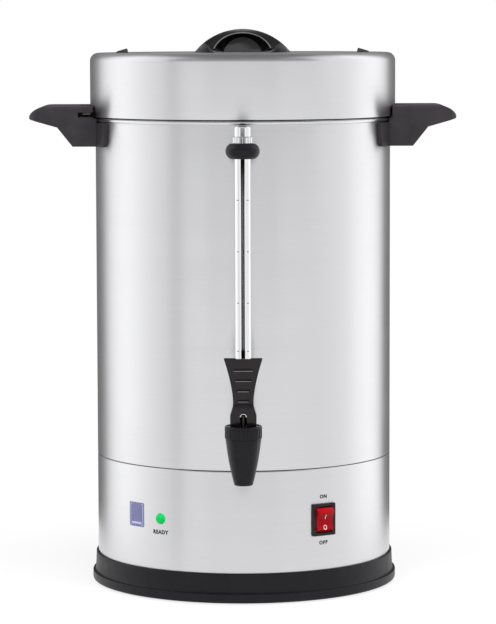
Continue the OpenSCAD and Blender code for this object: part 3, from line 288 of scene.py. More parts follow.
def pattern(material, scale, detail=2.0, roughness=0.5):
    """A 0 to 1 cloud pattern, scaled along x, y and z; it has one size on every piece."""
    place = add_node(material, "ShaderNodeTexCoord")
    points = add_node(
        material, "ShaderNodeMapping", {"Vector": place.outputs["Object"], "Scale": scale}
    )
    cloud = {"Scale": 1.0, "Detail": detail, "Roughness": roughness}
    cloud["Vector"] = points.outputs["Vector"]
    return add_node(material, "ShaderNodeTexNoise", cloud).outputs["Fac"]


def spread(material, fac, low, high, from_low=0.3, from_high=0.7):
    """Maps a 0 to 1 pattern on to a range of values."""
    return add_node(
        material,
        "ShaderNodeMapRange",
        {
            "Value": fac,
            "From Min": from_low,
            "From Max": from_high,
            "To Min": low,
            "To Max": high,
        },
    ).outputs["Result"]


def tint(material, fac, low, high):
    """A colour between two, by a 0 to 1 pattern."""
    ramp = add_node(material, "ShaderNodeValToRGB", {"Fac": fac})
    ramp.color_ramp.elements[0].color = rgba(low)
    ramp.color_ramp.elements[0].position = 0.3
    ramp.color_ramp.elements[1].color = rgba(high)
    ramp.color_ramp.elements[1].position = 0.7
    return ramp.outputs["Color"]


def scaled(values, factor):
    """A colour made darker or lighter by a factor."""
    return [min(1.0, v * factor) for v in values]


def brushed_stainless(name, base):
    """AISI 304 sheet, belt-brushed round the body and then rolled.

    The grain runs round the wall, so lights spread into upright bands and the
    surface keeps a faint level streak."""
    m = new_material(name)
    # Real grain lines are about 0.05 mm apart; drawn every 1.1 mm so that they show
    grain = pattern(m, (9, 9, 900), 4.0, 0.62)
    # Slow bands where the belt pressed harder, about 20 mm high
    belt = pattern(m, (3, 3, 50))
    tone = tint(m, grain, scaled(base, 0.985), scaled(base, 1.01))
    rough = spread(m, belt, 0.28, 0.32)
    bump = add_node(
        m, "ShaderNodeBump", {"Height": grain, "Strength": 0.015, "Distance": 0.0001}
    )
    tangent = add_node(m, "ShaderNodeTangent", direction_type="RADIAL", axis="Z")
    surface = add_node(
        m,
        "ShaderNodeBsdfPrincipled",
        {
            "Base Color": tone,
            "Metallic": 1.0,
            "Roughness": rough,
            "Anisotropic": 0.75,
            "Anisotropic Rotation": 0.25,
            "Tangent": tangent.outputs["Tangent"],
            "Normal": bump.outputs["Normal"],
        },
    )
    return shade(m, surface.outputs["BSDF"])


def metal(name, base, roughness, grain_mm=0.6, contrast=0.05, bump=0.04):
    """Bare or plated metal with a fine even grain from rolling, plating or turning."""
    m = new_material(name)
    s = 1.0 / (grain_mm * MM)
    grain = pattern(m, (s, s, s), 3.0)
    # Clouds from handling and plating, about 25 mm across
    cloud = pattern(m, (40, 40, 40), 3.0)
    tone = tint(m, cloud, scaled(base, 1 - contrast), scaled(base, 1 + contrast / 2))
    rough = spread(m, cloud, roughness * 0.85, roughness * 1.15)
    normal = add_node(
        m, "ShaderNodeBump", {"Height": grain, "Strength": bump, "Distance": 0.0002}
    )
    surface = add_node(
        m,
        "ShaderNodeBsdfPrincipled",
        {
            "Base Color": tone,
            "Metallic": 1.0,
            "Roughness": rough,
            "Normal": normal.outputs["Normal"],
        },
    )
    return shade(m, surface.outputs["BSDF"])


def moulded(name, base, roughness, grain_mm=0.5, bump=0.12, coat=0.0, ior=1.5, lift=1.5, gloss=0.2):
    """A plastic moulding whose tool was spark-eroded or polished.

    A fine pebbled grain breaks the gloss, and the colour drifts a little where
    the melt flowed."""
    m = new_material(name)
    s = 1.0 / (grain_mm * MM)
    pebble = pattern(m, (s, s, s))
    # Flow marks, about 22 mm across
    flow = pattern(m, (45, 45, 45), 3.0)
    tone = tint(m, flow, base, scaled(base, lift))
    rough = spread(m, pebble, roughness - 0.05, roughness + 0.06)
    normal = add_node(
        m, "ShaderNodeBump", {"Height": pebble, "Strength": bump, "Distance": 0.0002}
    )
    surface = add_node(
        m,
        "ShaderNodeBsdfPrincipled",
        {
            "Base Color": tone,
            "Roughness": rough,
            "IOR": ior,
            "Specular IOR Level": gloss,
            "Coat Weight": coat,
            "Coat Roughness": 0.12,
            "Normal": normal.outputs["Normal"],
        },
    )
    return shade(m, surface.outputs["BSDF"])


def clear_lens(name, base, roughness=0.12, transmission=0.35, glow=0.0, gloss=0.25):
    """Tinted polycarbonate, moulded glossy; some light passes, so the edges look deeper."""
    m = new_material(name)
    # Streaks of pigment, about 3 mm apart
    streak = pattern(m, (300, 300, 300))
    tone = tint(m, streak, scaled(base, 0.9), scaled(base, 1.06))
    surface = add_node(
        m,
        "ShaderNodeBsdfPrincipled",
        {
            "Base Color": tone,
            "Roughness": roughness,
            "IOR": 1.585,
            "Specular IOR Level": gloss,
            "Transmission Weight": transmission,
            "Emission Color": rgba(base),
            "Emission Strength": glow,
        },
    )
    return shade(m, surface.outputs["BSDF"])


def sight_glass(name, base):
    """Drawn borosilicate tube: clear, with faint lengthwise draw lines in its gloss."""
    m = new_material(name)
    # Draw lines, about 0.7 mm apart and 80 mm long
    draw = pattern(m, (1500, 1500, 12))
    rough = spread(m, draw, 0.0, 0.05)
    surface = add_node(
        m,
        "ShaderNodeBsdfPrincipled",
        {
            "Base Color": rgba(base),
            "Roughness": rough,
            "IOR": 1.47,
            "Transmission Weight": 1.0,
        },
    )
    return shade(m, surface.outputs["BSDF"])


# How each material slot or single piece is finished: kind, name, colour, then the kind's own
# values. A colour by name is one of the settings
FINISHES = {
    # Belt-brushed round the body: upright soft bands of light
    "brushed_steel": (brushed_stainless, "brushed_304_stainless", "steel"),
    # Buffed after drawing: bright, with soft reflections
    "polished_steel": (metal, "buffed_304_stainless", "steel", 0.2, 1.2, 0.03, 0.03),
    # Mill finish sheet under the base
    "plain_steel": (metal, "mill_rolled_stainless", "steel", 0.38, 0.8, 0.08, 0.06),
    # Zinc plating: clean and even, a little cloudy
    "bright_steel": (metal, "zinc_plated_steel", "zinc", 0.24, 0.5, 0.06, 0.05),
    # Bright nickel and chrome over brass: near mirror
    "chrome": (metal, "chrome_plated_brass", "chrome", 0.06, 1.5, 0.02, 0.01),
    # Compression-moulded phenolic: deep half matt black
    "base_plastic": (moulded, "moulded_phenolic_black", "base", 0.4, 0.7, 0.1),
    # The same from a polished tool: wet-looking gloss
    "knob_plastic": (
        moulded, "polished_phenolic_black", "knob", 0.16, 0.9, 0.02, 0.5, 1.5, 1.5, 0.5,
    ),
    # Filled nylon from a spark-eroded tool: dry charcoal with a fine pebble
    "handle_plastic": (moulded, "moulded_filled_nylon_charcoal", "handle", 0.46, 0.6, 0.16),
    # Polypropylene: waxy black with soft highlights
    "tap_plastic": (moulded, "moulded_polypropylene_black", "tap", 0.27, 0.6, 0.05),
    # ABS with a fine satin texture
    "switch_plastic": (moulded, "moulded_abs_black", "switch", 0.34, 0.5, 0.06),
    # Polycarbonate: tinted through, glossy, deeper at its edges
    # The rocker's small glow is painted light; it holds no lamp
    "red_plastic": (clear_lens, "moulded_polycarbonate_red", "rocker", 0.2, 0.03, 0.04, 0.07),
    "green_lens": (clear_lens, "moulded_polycarbonate_green", "lens", 0.14, 0.1, 0.25, 0.08),
    # Drawn glass: clear, with bright edges
    "gauge_glass": (sight_glass, "drawn_borosilicate_glass", srgb("#f7f9f9")),
    # Silicone: milky and soft, without sharp highlights
    "silicone": (
        moulded, "moulded_silicone_translucent", srgb("#b9b4ae"), 0.5, 0.8, 0.05, 0, 1.41, 1.1,
    ),
    # Rubber: dull black that hardly reflects
    "foot_rubber": (moulded, "moulded_rubber_black", srgb("#18181a"), 0.7, 0.5, 0.25, 0, 1.52),
    # The finishes below are of single pieces, not slots of their own
    "lever_plastic": (
        moulded, "moulded_filled_nylon_grey", "lever", 0.32, 0.6, 0.08, 0, 1.5, 1.5, 0.3,
    ),
    # Black silicone: painted shade, for the lid gasket in the gap under the hem and for the ring in
    # the wall's seam
    "shade_silicone": (moulded, "moulded_silicone_black", srgb("#1b1a1a"), 0.5, 0.8, 0.05, 0, 1.41),
    # Pale plastic that paints highlights: on the lower lips of the lever's grip grooves and on the
    # beads round the knob's scoops
    "lever_lip_highlight": (
        moulded, "burnished_filled_nylon_grey", srgb("#645d60"), 0.45, 0.6, 0.0, 0, 1.5, 1.5, 0.3,
    ),
    "worn_knob": (
        moulded, "burnished_phenolic_grey", srgb("#565153"), 0.2, 0.9, 0.02, 0.3, 1.5, 1.5, 0.5,
    ),
    # Extruded polypropylene, dark grey and dull: painted shade for the strip behind the sight glass
    "channel": (moulded, "extruded_polypropylene_grey", srgb("#39393b"), 0.45, 0.6, 0.04),
    # Matt dark steel for the tap stem: painted shade, so the lever's keyhole reads black under the
    # eyelet
    "stem_shade_steel": (metal, "oxidised_304_stainless", srgb("#4a4746"), 0.42, 0.5, 0.1, 0.06),
    # Dull grey steel for the lid lugs: painted shade, as they sit in the handles' windows
    "lug_shade_steel": (metal, "pressed_304_stainless", srgb("#8d8a88"), 0.34, 0.8, 0.06, 0.05),
    # Inks dry flat, so they look matt beside the metal
    "ink": (moulded, "screen_printed_ink_black", "ink", 0.5, 0.4, 0.05),
    "white_ink": (moulded, "pad_printed_ink_white", srgb("#ddd6d4"), 0.45, 0.4, 0.04, 0, 1.5, 1.04),
    # The label is foil under a clear film: smooth, with a soft gloss
    "label_foil": (moulded, "laminated_foil_violet", "label", 0.26, 0.9, 0.02, 0.3, 1.5, 1.1, 0.5),
    "label_line": (
        moulded, "laminated_foil_pale", "label_line", 0.26, 0.9, 0.02, 0.3, 1.5, 1.06, 0.5,
    ),
    # Nylon: chalky white
    "white_nylon": (
        moulded, "moulded_nylon_white", srgb("#cfccc6"), 0.42, 0.6, 0.05, 0, 1.53, 1.08,
    ),
    # Turned brass: warm, with a fine sparkle from the tool
    "brass": (metal, "turned_brass", "brass", 0.25, 0.5, 0.08, 0.06),
    # Die-cast aluminium: pale and cloudy
    "heater_aluminium": (metal, "die_cast_aluminium", "aluminium", 0.45, 0.7, 0.1, 0.12),
}
MATERIALS = {}


def finish_for(slot):
    """The finish of a material slot or of one piece, made when first asked for."""
    if slot not in MATERIALS:
        kind, name, base, *values = FINISHES[slot]
        if isinstance(base, str):
            base = list(getattr(bpy.context.scene.urn_finishes, base))
        MATERIALS[slot] = kind(name, base, *values)
    return MATERIALS[slot]


# ------------------------------------------------------------------ pieces


def settle(mesh_or_bm, name, material, body, replaces=(), crease=30):
    """Makes a piece from a mesh, gives it its finish and lets it ride on its body."""
    if isinstance(mesh_or_bm, bmesh.types.BMesh):
        mesh = bpy.data.meshes.new(name)
        mesh_or_bm.to_mesh(mesh)
        mesh_or_bm.free()
    else:
        mesh = mesh_or_bm
        mesh.name = name
    if not mesh.polygons:
        raise RuntimeError(f"{name} came out with no faces")
    curved(mesh, crease)
    mesh.materials.clear()
    mesh.materials.append(material)
    piece = bpy.data.objects.new(name, mesh)
    bpy.context.scene.collection.objects.link(piece)
    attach(piece, body)
    if replaces:
        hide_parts(*replaces)
    return piece


def add_arc(points, x, z, radius, start, end, steps):
    """Adds an arc of profile points; angles in degrees from outward, rising."""
    for k in range(steps + 1):
        a = math.radians(start + (end - start) * k / steps)
        points.append((x + radius * math.cos(a), z + radius * math.sin(a)))


def skinned(bm, rows, ring=False):
    """Joins rows of corners by faces, round to the first row or with a face at each end."""
    count = len(rows[0])
    for here, after in zip(rows, rows[1:] + rows[:1] if ring else rows[1:]):
        for j in range(count):
            n = (j + 1) % count
            bm.faces.new((here[j], after[j], after[n], here[n]))
    if not ring:
        bm.faces.new(rows[0])
        bm.faces.new(list(reversed(rows[-1])))


def lathe(profile):
    """Turns a closed profile of (radius, height) points about the urn's axis."""
    bm = bmesh.new()
    columns = []
    for k in range(TURNED_STEPS):
        a = 2 * math.pi * k / TURNED_STEPS
        columns.append([bm.verts.new((r * math.cos(a), r * math.sin(a), z)) for r, z in profile])
    skinned(bm, columns, True)
    bmesh.ops.remove_doubles(bm, verts=bm.verts, dist=1e-7)
    bmesh.ops.recalc_face_normals(bm, faces=bm.faces)
    return bm


def copy_of(node):
    """A welded copy of a CAD node's mesh with its flat faces made whole again."""
    bm = bmesh.new()
    bm.from_mesh(frame["nodes"][node].data)
    bmesh.ops.remove_doubles(bm, verts=bm.verts, dist=2e-6)
    bmesh.ops.dissolve_degenerate(bm, edges=bm.edges, dist=1e-6)
    bmesh.ops.dissolve_limit(
        bm, angle_limit=math.radians(0.6), verts=bm.verts, edges=bm.edges, delimit=set()
    )
    return bm


def turned_sheet(profile, name, body, node):
    """A form turned in brushed sheet that takes a CAD node's place."""
    steel = finish_for("brushed_steel")
    return settle(lathe(profile), name, steel, body, (node,))


def curved(mesh, crease):
    """Smooth shading that keeps edges sharper than the crease angle."""
    mesh.shade_smooth()
    mesh.set_sharp_from_angle(angle=math.radians(crease))


def wall_frame(azimuth, height, radius):
    """A frame on an upright wall: x along it to the right, y up, z outward."""
    a = FRONT + azimuth
    out = Vector((math.cos(a), math.sin(a), 0.0))
    along = Vector((-math.sin(a), math.cos(a), 0.0))
    frame_here = Matrix((along, Vector((0, 0, 1)), out)).transposed().to_4x4()
    frame_here.translation = out * radius + Vector((0, 0, height))
    return frame_here


def block(bm, place, size, middle):
    """Adds a rectangular block in a frame."""
    scale = Matrix.Diagonal((*size, 1))
    bmesh.ops.create_cube(bm, size=1.0, matrix=place @ Matrix.Translation(middle) @ scale)


def rod(bm, place, radius, depth):
    """Adds a rod along a frame's z, through its origin."""
    bmesh.ops.create_cone(
        bm, cap_ends=True, segments=48, radius1=radius, radius2=radius, depth=depth, matrix=place
    )


def inlay(pairs, surface, thick, ring=False):
    """A thin closed strip between two rows of points, laid on a surface z(x, y)."""
    bm = bmesh.new()
    rows = []
    for left, right in pairs:
        corners = ((left, thick), (right, thick), (right, -thick), (left, -thick))
        rows.append([bm.verts.new((p[0], p[1], surface(*p) + lift)) for p, lift in corners])
    skinned(bm, rows, ring)
    bmesh.ops.recalc_face_normals(bm, faces=bm.faces)
    return bm


def rounded(width, height, radius):
    """Points round a rectangle with rounded corners."""
    points = []
    for k, (sx, sy) in enumerate(((1, 1), (-1, 1), (-1, -1), (1, -1))):
        for j in range(7):
            a = math.radians(90 * k + 90 * j / 6)
            points.append(
                (
                    sx * (width / 2 - radius) + radius * math.cos(a),
                    sy * (height / 2 - radius) + radius * math.sin(a),
                )
            )
    return points


def sleeve(inner, outer, bottom, top, start, end, steps, centre):
    """Part of an upright tube between two angles in degrees."""
    bm = bmesh.new()
    rows = []
    for k in range(steps + 1):
        a = math.radians(start + (end - start) * k / steps)
        rows.append(
            [
                bm.verts.new((centre[0] + r * math.cos(a), centre[1] + r * math.sin(a), z))
                for r, z in ((inner, bottom), (outer, bottom), (outer, top), (inner, top))
            ]
        )
    skinned(bm, rows)
    bmesh.ops.recalc_face_normals(bm, faces=bm.faces)
    return bm


def joined(parts):
    """One mesh of several, which are used up."""
    whole = bmesh.new()
    for part in parts:
        mesh = bpy.data.meshes.new("part")
        part.to_mesh(mesh)
        part.free()
        whole.from_mesh(mesh)
        bpy.data.meshes.remove(mesh)
    return whole


def wire(points, radius):
    """The mesh of a round wire with closed ends along some points."""
    path = bpy.data.curves.new("wire", "CURVE")
    path.dimensions = "3D"
    path.bevel_depth = radius
    path.bevel_resolution = 4
    path.use_fill_caps = True
    line = path.splines.new("POLY")
    line.points.add(len(points) - 1)
    for point, place in zip(line.points, points):
        point.co = (*place, 1.0)
    holder = bpy.data.objects.new("wire_path", path)
    bpy.context.scene.collection.objects.link(holder)
    view = bpy.context.evaluated_depsgraph_get()
    view.update()
    mesh = bpy.data.meshes.new_from_object(holder.evaluated_get(view))
    bpy.data.objects.remove(holder)
    bpy.data.curves.remove(path)
    return mesh


def surface_in_front(node, x, z):
    """Where a line from the front first meets a CAD node, as its y."""
    bm = bmesh.new()
    bm.from_mesh(frame["nodes"][node].data)
    place = BVHTree.FromBMesh(bm).ray_cast(Vector((x, -1.0, z)), Vector((0, 1, 0)))[0]
    bm.free()
    if place is None:
        raise RuntimeError(f"nothing of {node} at {x}, {z}")
    return place.y


def applied(piece):
    """Applies a piece's modifiers, so its mesh is final."""
    view = bpy.context.evaluated_depsgraph_get()
    view.update()
    mesh = bpy.data.meshes.new_from_object(piece.evaluated_get(view))
    piece.modifiers.clear()
    piece.data = mesh


def opened(piece, cutter, crease=30):
    """Cuts a cutter's shape out of a piece."""
    mesh = bpy.data.meshes.new("cutter")
    cutter.to_mesh(mesh)
    cutter.free()
    tool = bpy.data.objects.new("cutter", mesh)
    bpy.context.scene.collection.objects.link(tool)
    take = piece.modifiers.new("opening", "BOOLEAN")
    take.operation = "DIFFERENCE"
    take.solver = "EXACT"
    take.object = tool
    applied(piece)
    bpy.data.objects.remove(tool)
    curved(piece.data, crease)


def bevelled(piece, edge, segments, crease):
    """Rounds a piece's sharp edges."""
    bevel = piece.modifiers.new("tool_radius", "BEVEL")
    bevel.width = edge
    bevel.segments = segments
    bevel.limit_method = "ANGLE"
    bevel.angle_limit = ROUNDED_ANGLE
    applied(piece)
    curved(piece.data, crease)


def softened(node, name, edge, slot, segments=3, finish=None):
    """A moulding in the CAD node's shape with its edges rounded as the tool's are."""
    body = frame["nodes"][node]["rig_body"]
    piece = settle(copy_of(node), name, finish_for(finish or slot), body, (node,), 40)
    if edge > 0:
        bevelled(piece, edge, segments, 35)
    return piece


def wrap_on_wall(mesh, azimuth, height, radius):
    """Bends a flat mesh in x and y round the upright wall; z becomes height above it."""
    for v in mesh.vertices:
        a = FRONT + azimuth + v.co.x / radius
        r = radius + v.co.z
        v.co = Vector((r * math.cos(a), r * math.sin(a), height + v.co.y))
    mesh.update()


def legend(name, words, azimuth, height, capitals, spacing):
    """Raised ink lettering printed on the wall."""
    text = bpy.data.curves.new(name, "FONT")
    text.body = words
    text.align_x = "CENTER"
    text.align_y = "CENTER"
    text.size = capitals * TEXT_SIZE
    text.space_character = spacing
    text.extrude = INK_THICK
    text.offset = TEXT_WEIGHT
    text.resolution_u = 4
    holder = bpy.data.objects.new(name + "_outline", text)
    bpy.context.scene.collection.objects.link(holder)
    bpy.context.view_layer.update()
    view = bpy.context.evaluated_depsgraph_get()
    mesh = bpy.data.meshes.new_from_object(holder.evaluated_get(view))
    bpy.data.objects.remove(holder)
    bpy.data.curves.remove(text)
    wrap_on_wall(mesh, azimuth, height, WALL_R + INK_THICK)
    settle(mesh, name, finish_for("ink"), "urn")


class UrnOperator:
    """What every step of the urn shares."""

    bl_options = {"REGISTER", "UNDO"}


class URN_OT_walls(UrnOperator, bpy.types.Operator):
    """Turns the outer wall and the skirt below it in brushed sheet"""

    bl_idname = "urn.walls"
    bl_label = "Outer wall and skirt"

    def execute(self, context):
        s = context.scene.urn_sheet
        t = s.sheet
        low, high = LOW["outer_shell"].z, HIGH["outer_shell"].z
        r = WALL_R
        turned = 0.5 * MM
        wall = [(r - t, low + turned), (r - t, high)]
        add_arc(wall, r - turned, high - turned, turned, 90, 0, 4)
        add_arc(wall, r - turned, low + turned, turned, 0, -90, 4)
        wall.append((r - t + turned, low))
        piece = turned_sheet(wall, "outer_wall", "urn", "outer_shell")
        holes = bmesh.new()
        for degrees, height, radius in WALL_HOLES:
            place = wall_frame(math.radians(degrees), height * MM, r)
            rod(holes, place, radius * MM, 8 * MM)
        opened(piece, holes)

        seam = LOW["outer_shell"].z - SEAM_GAP
        top = HIGH["base_skirt"].z
        foot = LOW["base_skirt"].z
        lap = r - t - 0.1 * MM
        skirt = [(r, foot)]
        add_arc(skirt, r - s.seam_roll, seam - s.seam_roll, s.seam_roll, 0, 90, 6)
        skirt += [(lap, seam), (lap, top), (lap - t, top), (lap - t, seam - t)]
        skirt += [(r - t, seam - 2 * t), (r - t, foot)]
        piece = turned_sheet(skirt, "skirt_wall", "urn", "base_skirt")
        holes = bmesh.new()
        block(holes, wall_frame(SWITCH_AZ, SWITCH_Z, r), SWITCH_OPENING, (0, 0, -4 * MM))
        rod(holes, wall_frame(LAMP_AZ, LAMP_Z, r), LAMP_HOLE_R, 10 * MM)
        block(holes, wall_frame(math.pi, 0, r), GLAND_SLOT, (0, GLAND_SLOT[1] / 2, 0))
        opened(piece, holes)

        # A black ring in the seam, set back a little: painted shade, so the joint reads as a dark
        # line
        bead = [(r - t - 0.3 * MM, seam - 0.1 * MM), (r - t, seam - 0.4 * MM)]
        add_arc(bead, r - 1.0 * MM, (seam + low) / 2, 0.45 * MM, -50, 50, 6)
        bead += [(r - t, low + 0.3 * MM), (r - t - 0.3 * MM, low + 0.2 * MM)]
        settle(lathe(bead), "seam_sealant", finish_for("shade_silicone"), "urn")
        return {"FINISHED"}


class URN_OT_base(UrnOperator, bpy.types.Operator):
    """Softens the black ring that the urn stands on"""

    bl_idname = "urn.base"
    bl_label = "Base ring"

    def execute(self, context):
        edge = context.scene.urn_moulding.base_edge
        softened("base_ring", "base_moulding", edge, "base_plastic", 2)
        return {"FINISHED"}


class URN_OT_lid(UrnOperator, bpy.types.Operator):
    """Turns the lid's deep cover, softens its knob and lays the beads of its scoops"""

    bl_idname = "urn.lid"
    bl_label = "Lid"

    def execute(self, context):
        s = context.scene.urn_sheet
        m = context.scene.urn_moulding
        t = s.sheet
        low, top = LOW["lid_cover"].z + s.hem_lift, HIGH["lid_cover"].z
        r = LID_R
        hem = t / 2
        cover = []
        add_arc(cover, r - hem, low + hem, hem, -180, 0, 6)
        add_arc(cover, r - s.lid_edge, top - s.lid_edge, s.lid_edge, 0, 90, 16)
        cover += [(r * k / 10, top) for k in (9, 7, 5, 3, 1)] + [(0.0, top)]
        cover.append((0.0, top - t))
        cover += [(r * k / 10, top - t) for k in (1, 3, 5, 7, 9)]
        add_arc(cover, r - s.lid_edge, top - s.lid_edge, s.lid_edge - t, 90, 0, 16)
        turned_sheet(cover, "lid_drawn_cover", "lid", "lid_cover")
        softened("lid_knob", "knob_moulding", m.knob_edge, "knob_plastic")
        # A fine bead runs round the mouth of each finger scoop, in a paler plastic that paints its
        # rim highlight
        bm = copy_of("lid_knob")
        axis = Vector((0, 0, LOW["lid_knob"].z - 5 * MM))
        mouths = {-1: set(), 1: set()}
        for e in bm.edges:
            middle = (e.verts[0].co + e.verts[1].co) / 2
            if len(e.link_faces) != 2 or abs(middle.y) < SCOOP_SIDE:
                continue
            away = middle - axis
            away.y = 0
            # An edge of the mouth has one face that looks in and one that looks out
            facing = sorted(f.normal.dot(away.normalized()) for f in e.link_faces)
            if facing[0] < -0.4 and facing[1] > 0.1:
                mouths[-1 if middle.y < 0 else 1].update(v.co.copy().freeze() for v in e.verts)
        bm.free()
        for side, name in ((-1, "front"), (1, "rear")):
            points = []
            for p in sorted(mouths[side], key=lambda p: math.atan2(p.z - axis.z, p.x)):
                if not points or (p - points[-1]).length > 0.8 * MM:
                    points.append(p)
            bead = wire(points + points[:1], m.knob_bead)
            settle(bead, f"knob_bead_{name}", finish_for("worn_knob"), "lid")
        return {"FINISHED"}


class URN_OT_handles(UrnOperator, bpy.types.Operator):
    """Softens the two side handles"""

    bl_idname = "urn.handles"
    bl_label = "Handles"

    def execute(self, context):
        edge = context.scene.urn_moulding.handle_edge
        for node in ("handle_left", "handle_right"):
            softened(node, node + "_moulding", edge, "handle_plastic")
        return {"FINISHED"}


class URN_OT_tap(UrnOperator, bpy.types.Operator):
    """Softens the tap's lever, deepens its grip grooves and sets its eyelet"""

    bl_idname = "urn.tap"
    bl_label = "Tap"

    def execute(self, context):
        edge = context.scene.urn_moulding.lever_edge
        lever = softened("tap_lever", "lever_moulding", edge, "tap_plastic", 2, "lever_plastic")
        # The grip grooves are cut deeper, and a pale wire on each lower lip paints its highlight
        lips = []
        slots = bmesh.new()
        for k, half in enumerate(GROOVE_HALVES):
            z = HIGH["tap_lever"].z - (GROOVE_FIRST + GROOVE_PITCH * k) * MM
            y = surface_in_front("tap_lever", 0.0, z - 1.3 * MM)
            place = Matrix.Translation((0, y + 1.2 * MM, z))
            block(slots, place, (2 * half * MM, 2.6 * MM, 1.3 * MM), (0, 0, 0))
            ends = [(x * half * MM, y - 0.02 * MM, z - 1.15 * MM) for x in (-1, -0.5, 0, 0.5, 1)]
            lip = bmesh.new()
            lip.from_mesh(wire(ends, 0.36 * MM))
            lips.append(lip)
        opened(lever, slots, 35)
        lip_highlight = finish_for("lever_lip_highlight")
        settle(joined(lips), "lever_groove_lips", lip_highlight, "tap_lever")
        # Bright eyelet pressed into the mouth of the lever's keyhole
        turn = [math.radians(8 + 164 * k / 24) for k in range(25)]
        pin = (LOW["lever_pin"] + HIGH["lever_pin"]) / 2
        front = pin.y - EYELET_FRONT
        arch = [(EYELET_R * math.cos(a), front, pin.z + EYELET_R * math.sin(a)) for a in turn]
        eyelet = wire(arch, EYELET_WIRE)
        settle(eyelet, "lever_eyelet", finish_for("chrome"), "tap_lever")
        return {"FINISHED"}


class URN_OT_gauge(UrnOperator, bpy.types.Operator):
    """Lays a dark strip behind the sight glass, painted shade for its slot, and the cup marks
    beside it
    """

    bl_idname = "urn.gauge"
    bl_label = "Sight gauge"

    def execute(self, context):
        centre = (0.0, GAUGE_Y)
        low, high = LOW["gauge_guard"].z, HIGH["gauge_guard"].z
        channel = sleeve(*SLOT_SHADE, low + 1 * MM, high - 2 * MM, *SLOT_SHADE_ARC, 40, centre)
        settle(channel, "gauge_channel", finish_for("channel"), "urn")
        outer = HIGH["gauge_guard"].x
        marks = []
        inner, proud = outer - 0.1 * MM, outer + 0.05 * MM
        for z in CUP_MARKS:
            for start, end in MARK_ARCS:
                low, high = (z - 0.3) * MM, (z + 0.3) * MM
                marks.append(sleeve(inner, proud, low, high, start, end, 8, centre))
        settle(joined(marks), "gauge_marks", finish_for("ink"), "urn")
        return {"FINISHED"}


class URN_OT_switch(UrnOperator, bpy.types.Operator):
    """Models the dished rocker with its two marks, and softens its bezel"""

    bl_idname = "urn.switch"
    bl_label = "Rocker switch"

    def execute(self, context):
        m = context.scene.urn_moulding
        softened("switch_housing", "bezel_moulding", m.bezel_edge, "switch_plastic", 2)
        ridge, deep, tall = 8.2 * MM, 5.4 * MM, 8.0 * MM

        def face(x, y):
            return deep + (tall - deep) * (y / ridge) ** 2

        profile = [(y * MM, out * MM) for y, out in ROCKER_END]
        profile += [(ridge * k / 10, face(0, ridge * k / 10)) for k in range(-10, 11)]
        profile += [(-y * MM, out * MM) for y, out in reversed(ROCKER_END)]
        half = m.rocker_width / 2
        bm = bmesh.new()
        left = [bm.verts.new((-half, y, out)) for y, out in profile]
        right = [bm.verts.new((half, y, out)) for y, out in profile]
        count = len(profile)
        for k in range(count):
            n = (k + 1) % count
            bm.faces.new((left[k], left[n], right[n], right[k]))
        bm.faces.new(left)
        bm.faces.new(list(reversed(right)))
        bmesh.ops.recalc_face_normals(bm, faces=bm.faces)
        # The rocker rests with its upper end out, at OFF
        pivot = WALL_R - 2.5 * MM
        place = wall_frame(SWITCH_AZ, SWITCH_Z, pivot) @ Matrix.Rotation(ROCKER_TILT, 4, "X")
        bmesh.ops.transform(bm, matrix=place, verts=bm.verts)
        red = finish_for("red_plastic")
        replaced = ("switch_rocker",)
        rocker = settle(bm, "rocker_moulding", red, "rocker", replaced, 40)
        bevelled(rocker, m.rocker_edge, 3, 40)

        line = [((-0.3 * MM, y * MM), (0.3 * MM, y * MM)) for y in LINE_PLACES]
        stroke = inlay(line, face, 0.06 * MM)
        circle = []
        for k in range(36):
            a = math.radians(10 * k)
            circle.append(
                tuple(
                    (0.86 * r * math.cos(a) * MM, (RING_Y + r * math.sin(a)) * MM)
                    for r in RING_RADII
                )
            )
        marks = joined([stroke, inlay(circle, face, 0.06 * MM, True)])
        bmesh.ops.transform(marks, matrix=place, verts=marks.verts)
        settle(marks, "rocker_marks", finish_for("white_ink"), "rocker")
        return {"FINISHED"}


class URN_OT_legends(UrnOperator, bpy.types.Operator):
    """Prints the plain words by the switch and lamp, and fixes the blank label"""

    bl_idname = "urn.legends"
    bl_label = "Legends and label"

    def execute(self, context):
        m = context.scene.urn_moulding
        for name, words, azimuth, height, share, spacing in LEGENDS:
            legend(name, words, azimuth, height, m.print_height * share, spacing)

        wide, tall, corner = m.label_width, m.label_height, 1.5 * MM

        def flat(x, y):
            return 0.0

        edge = []
        for k in range(33):
            x = wide / 2 * math.sin(math.pi * (k / 32 - 0.5))
            beyond = max(0.0, abs(x) - (wide / 2 - corner))
            y = tall / 2 - corner + math.sqrt(max(0.0, corner**2 - beyond**2))
            edge.append(((x, y), (x, -y)))
        outline = rounded(wide - 2.6 * MM, tall - 2.6 * MM, corner)
        inner = rounded(wide - 3.8 * MM, tall - 3.8 * MM, corner - 0.6 * MM)
        frame_line = inlay(list(zip(outline, inner)), flat, INK_THICK, True)
        foot = tall / 2 - 4.6 * MM
        across = [(-wide / 2 + 3.4 * MM) * (1 - k / 8) for k in range(17)]
        strip = inlay([((x, -foot), (x, -foot - 1.9 * MM)) for x in across], flat, INK_THICK)
        for bm, name, finish, lift in (
            (inlay(edge, flat, 0.08 * MM), "label_panel", "label_foil", 0.08 * MM),
            (joined([frame_line, strip]), "label_lines", "label_line", 0.18 * MM),
        ):
            mesh = bpy.data.meshes.new(name)
            bm.to_mesh(mesh)
            bm.free()
            wrap_on_wall(mesh, LABEL_AZ, LABEL_Z, WALL_R + lift)
            settle(mesh, name, finish_for(finish), "urn")
        return {"FINISHED"}


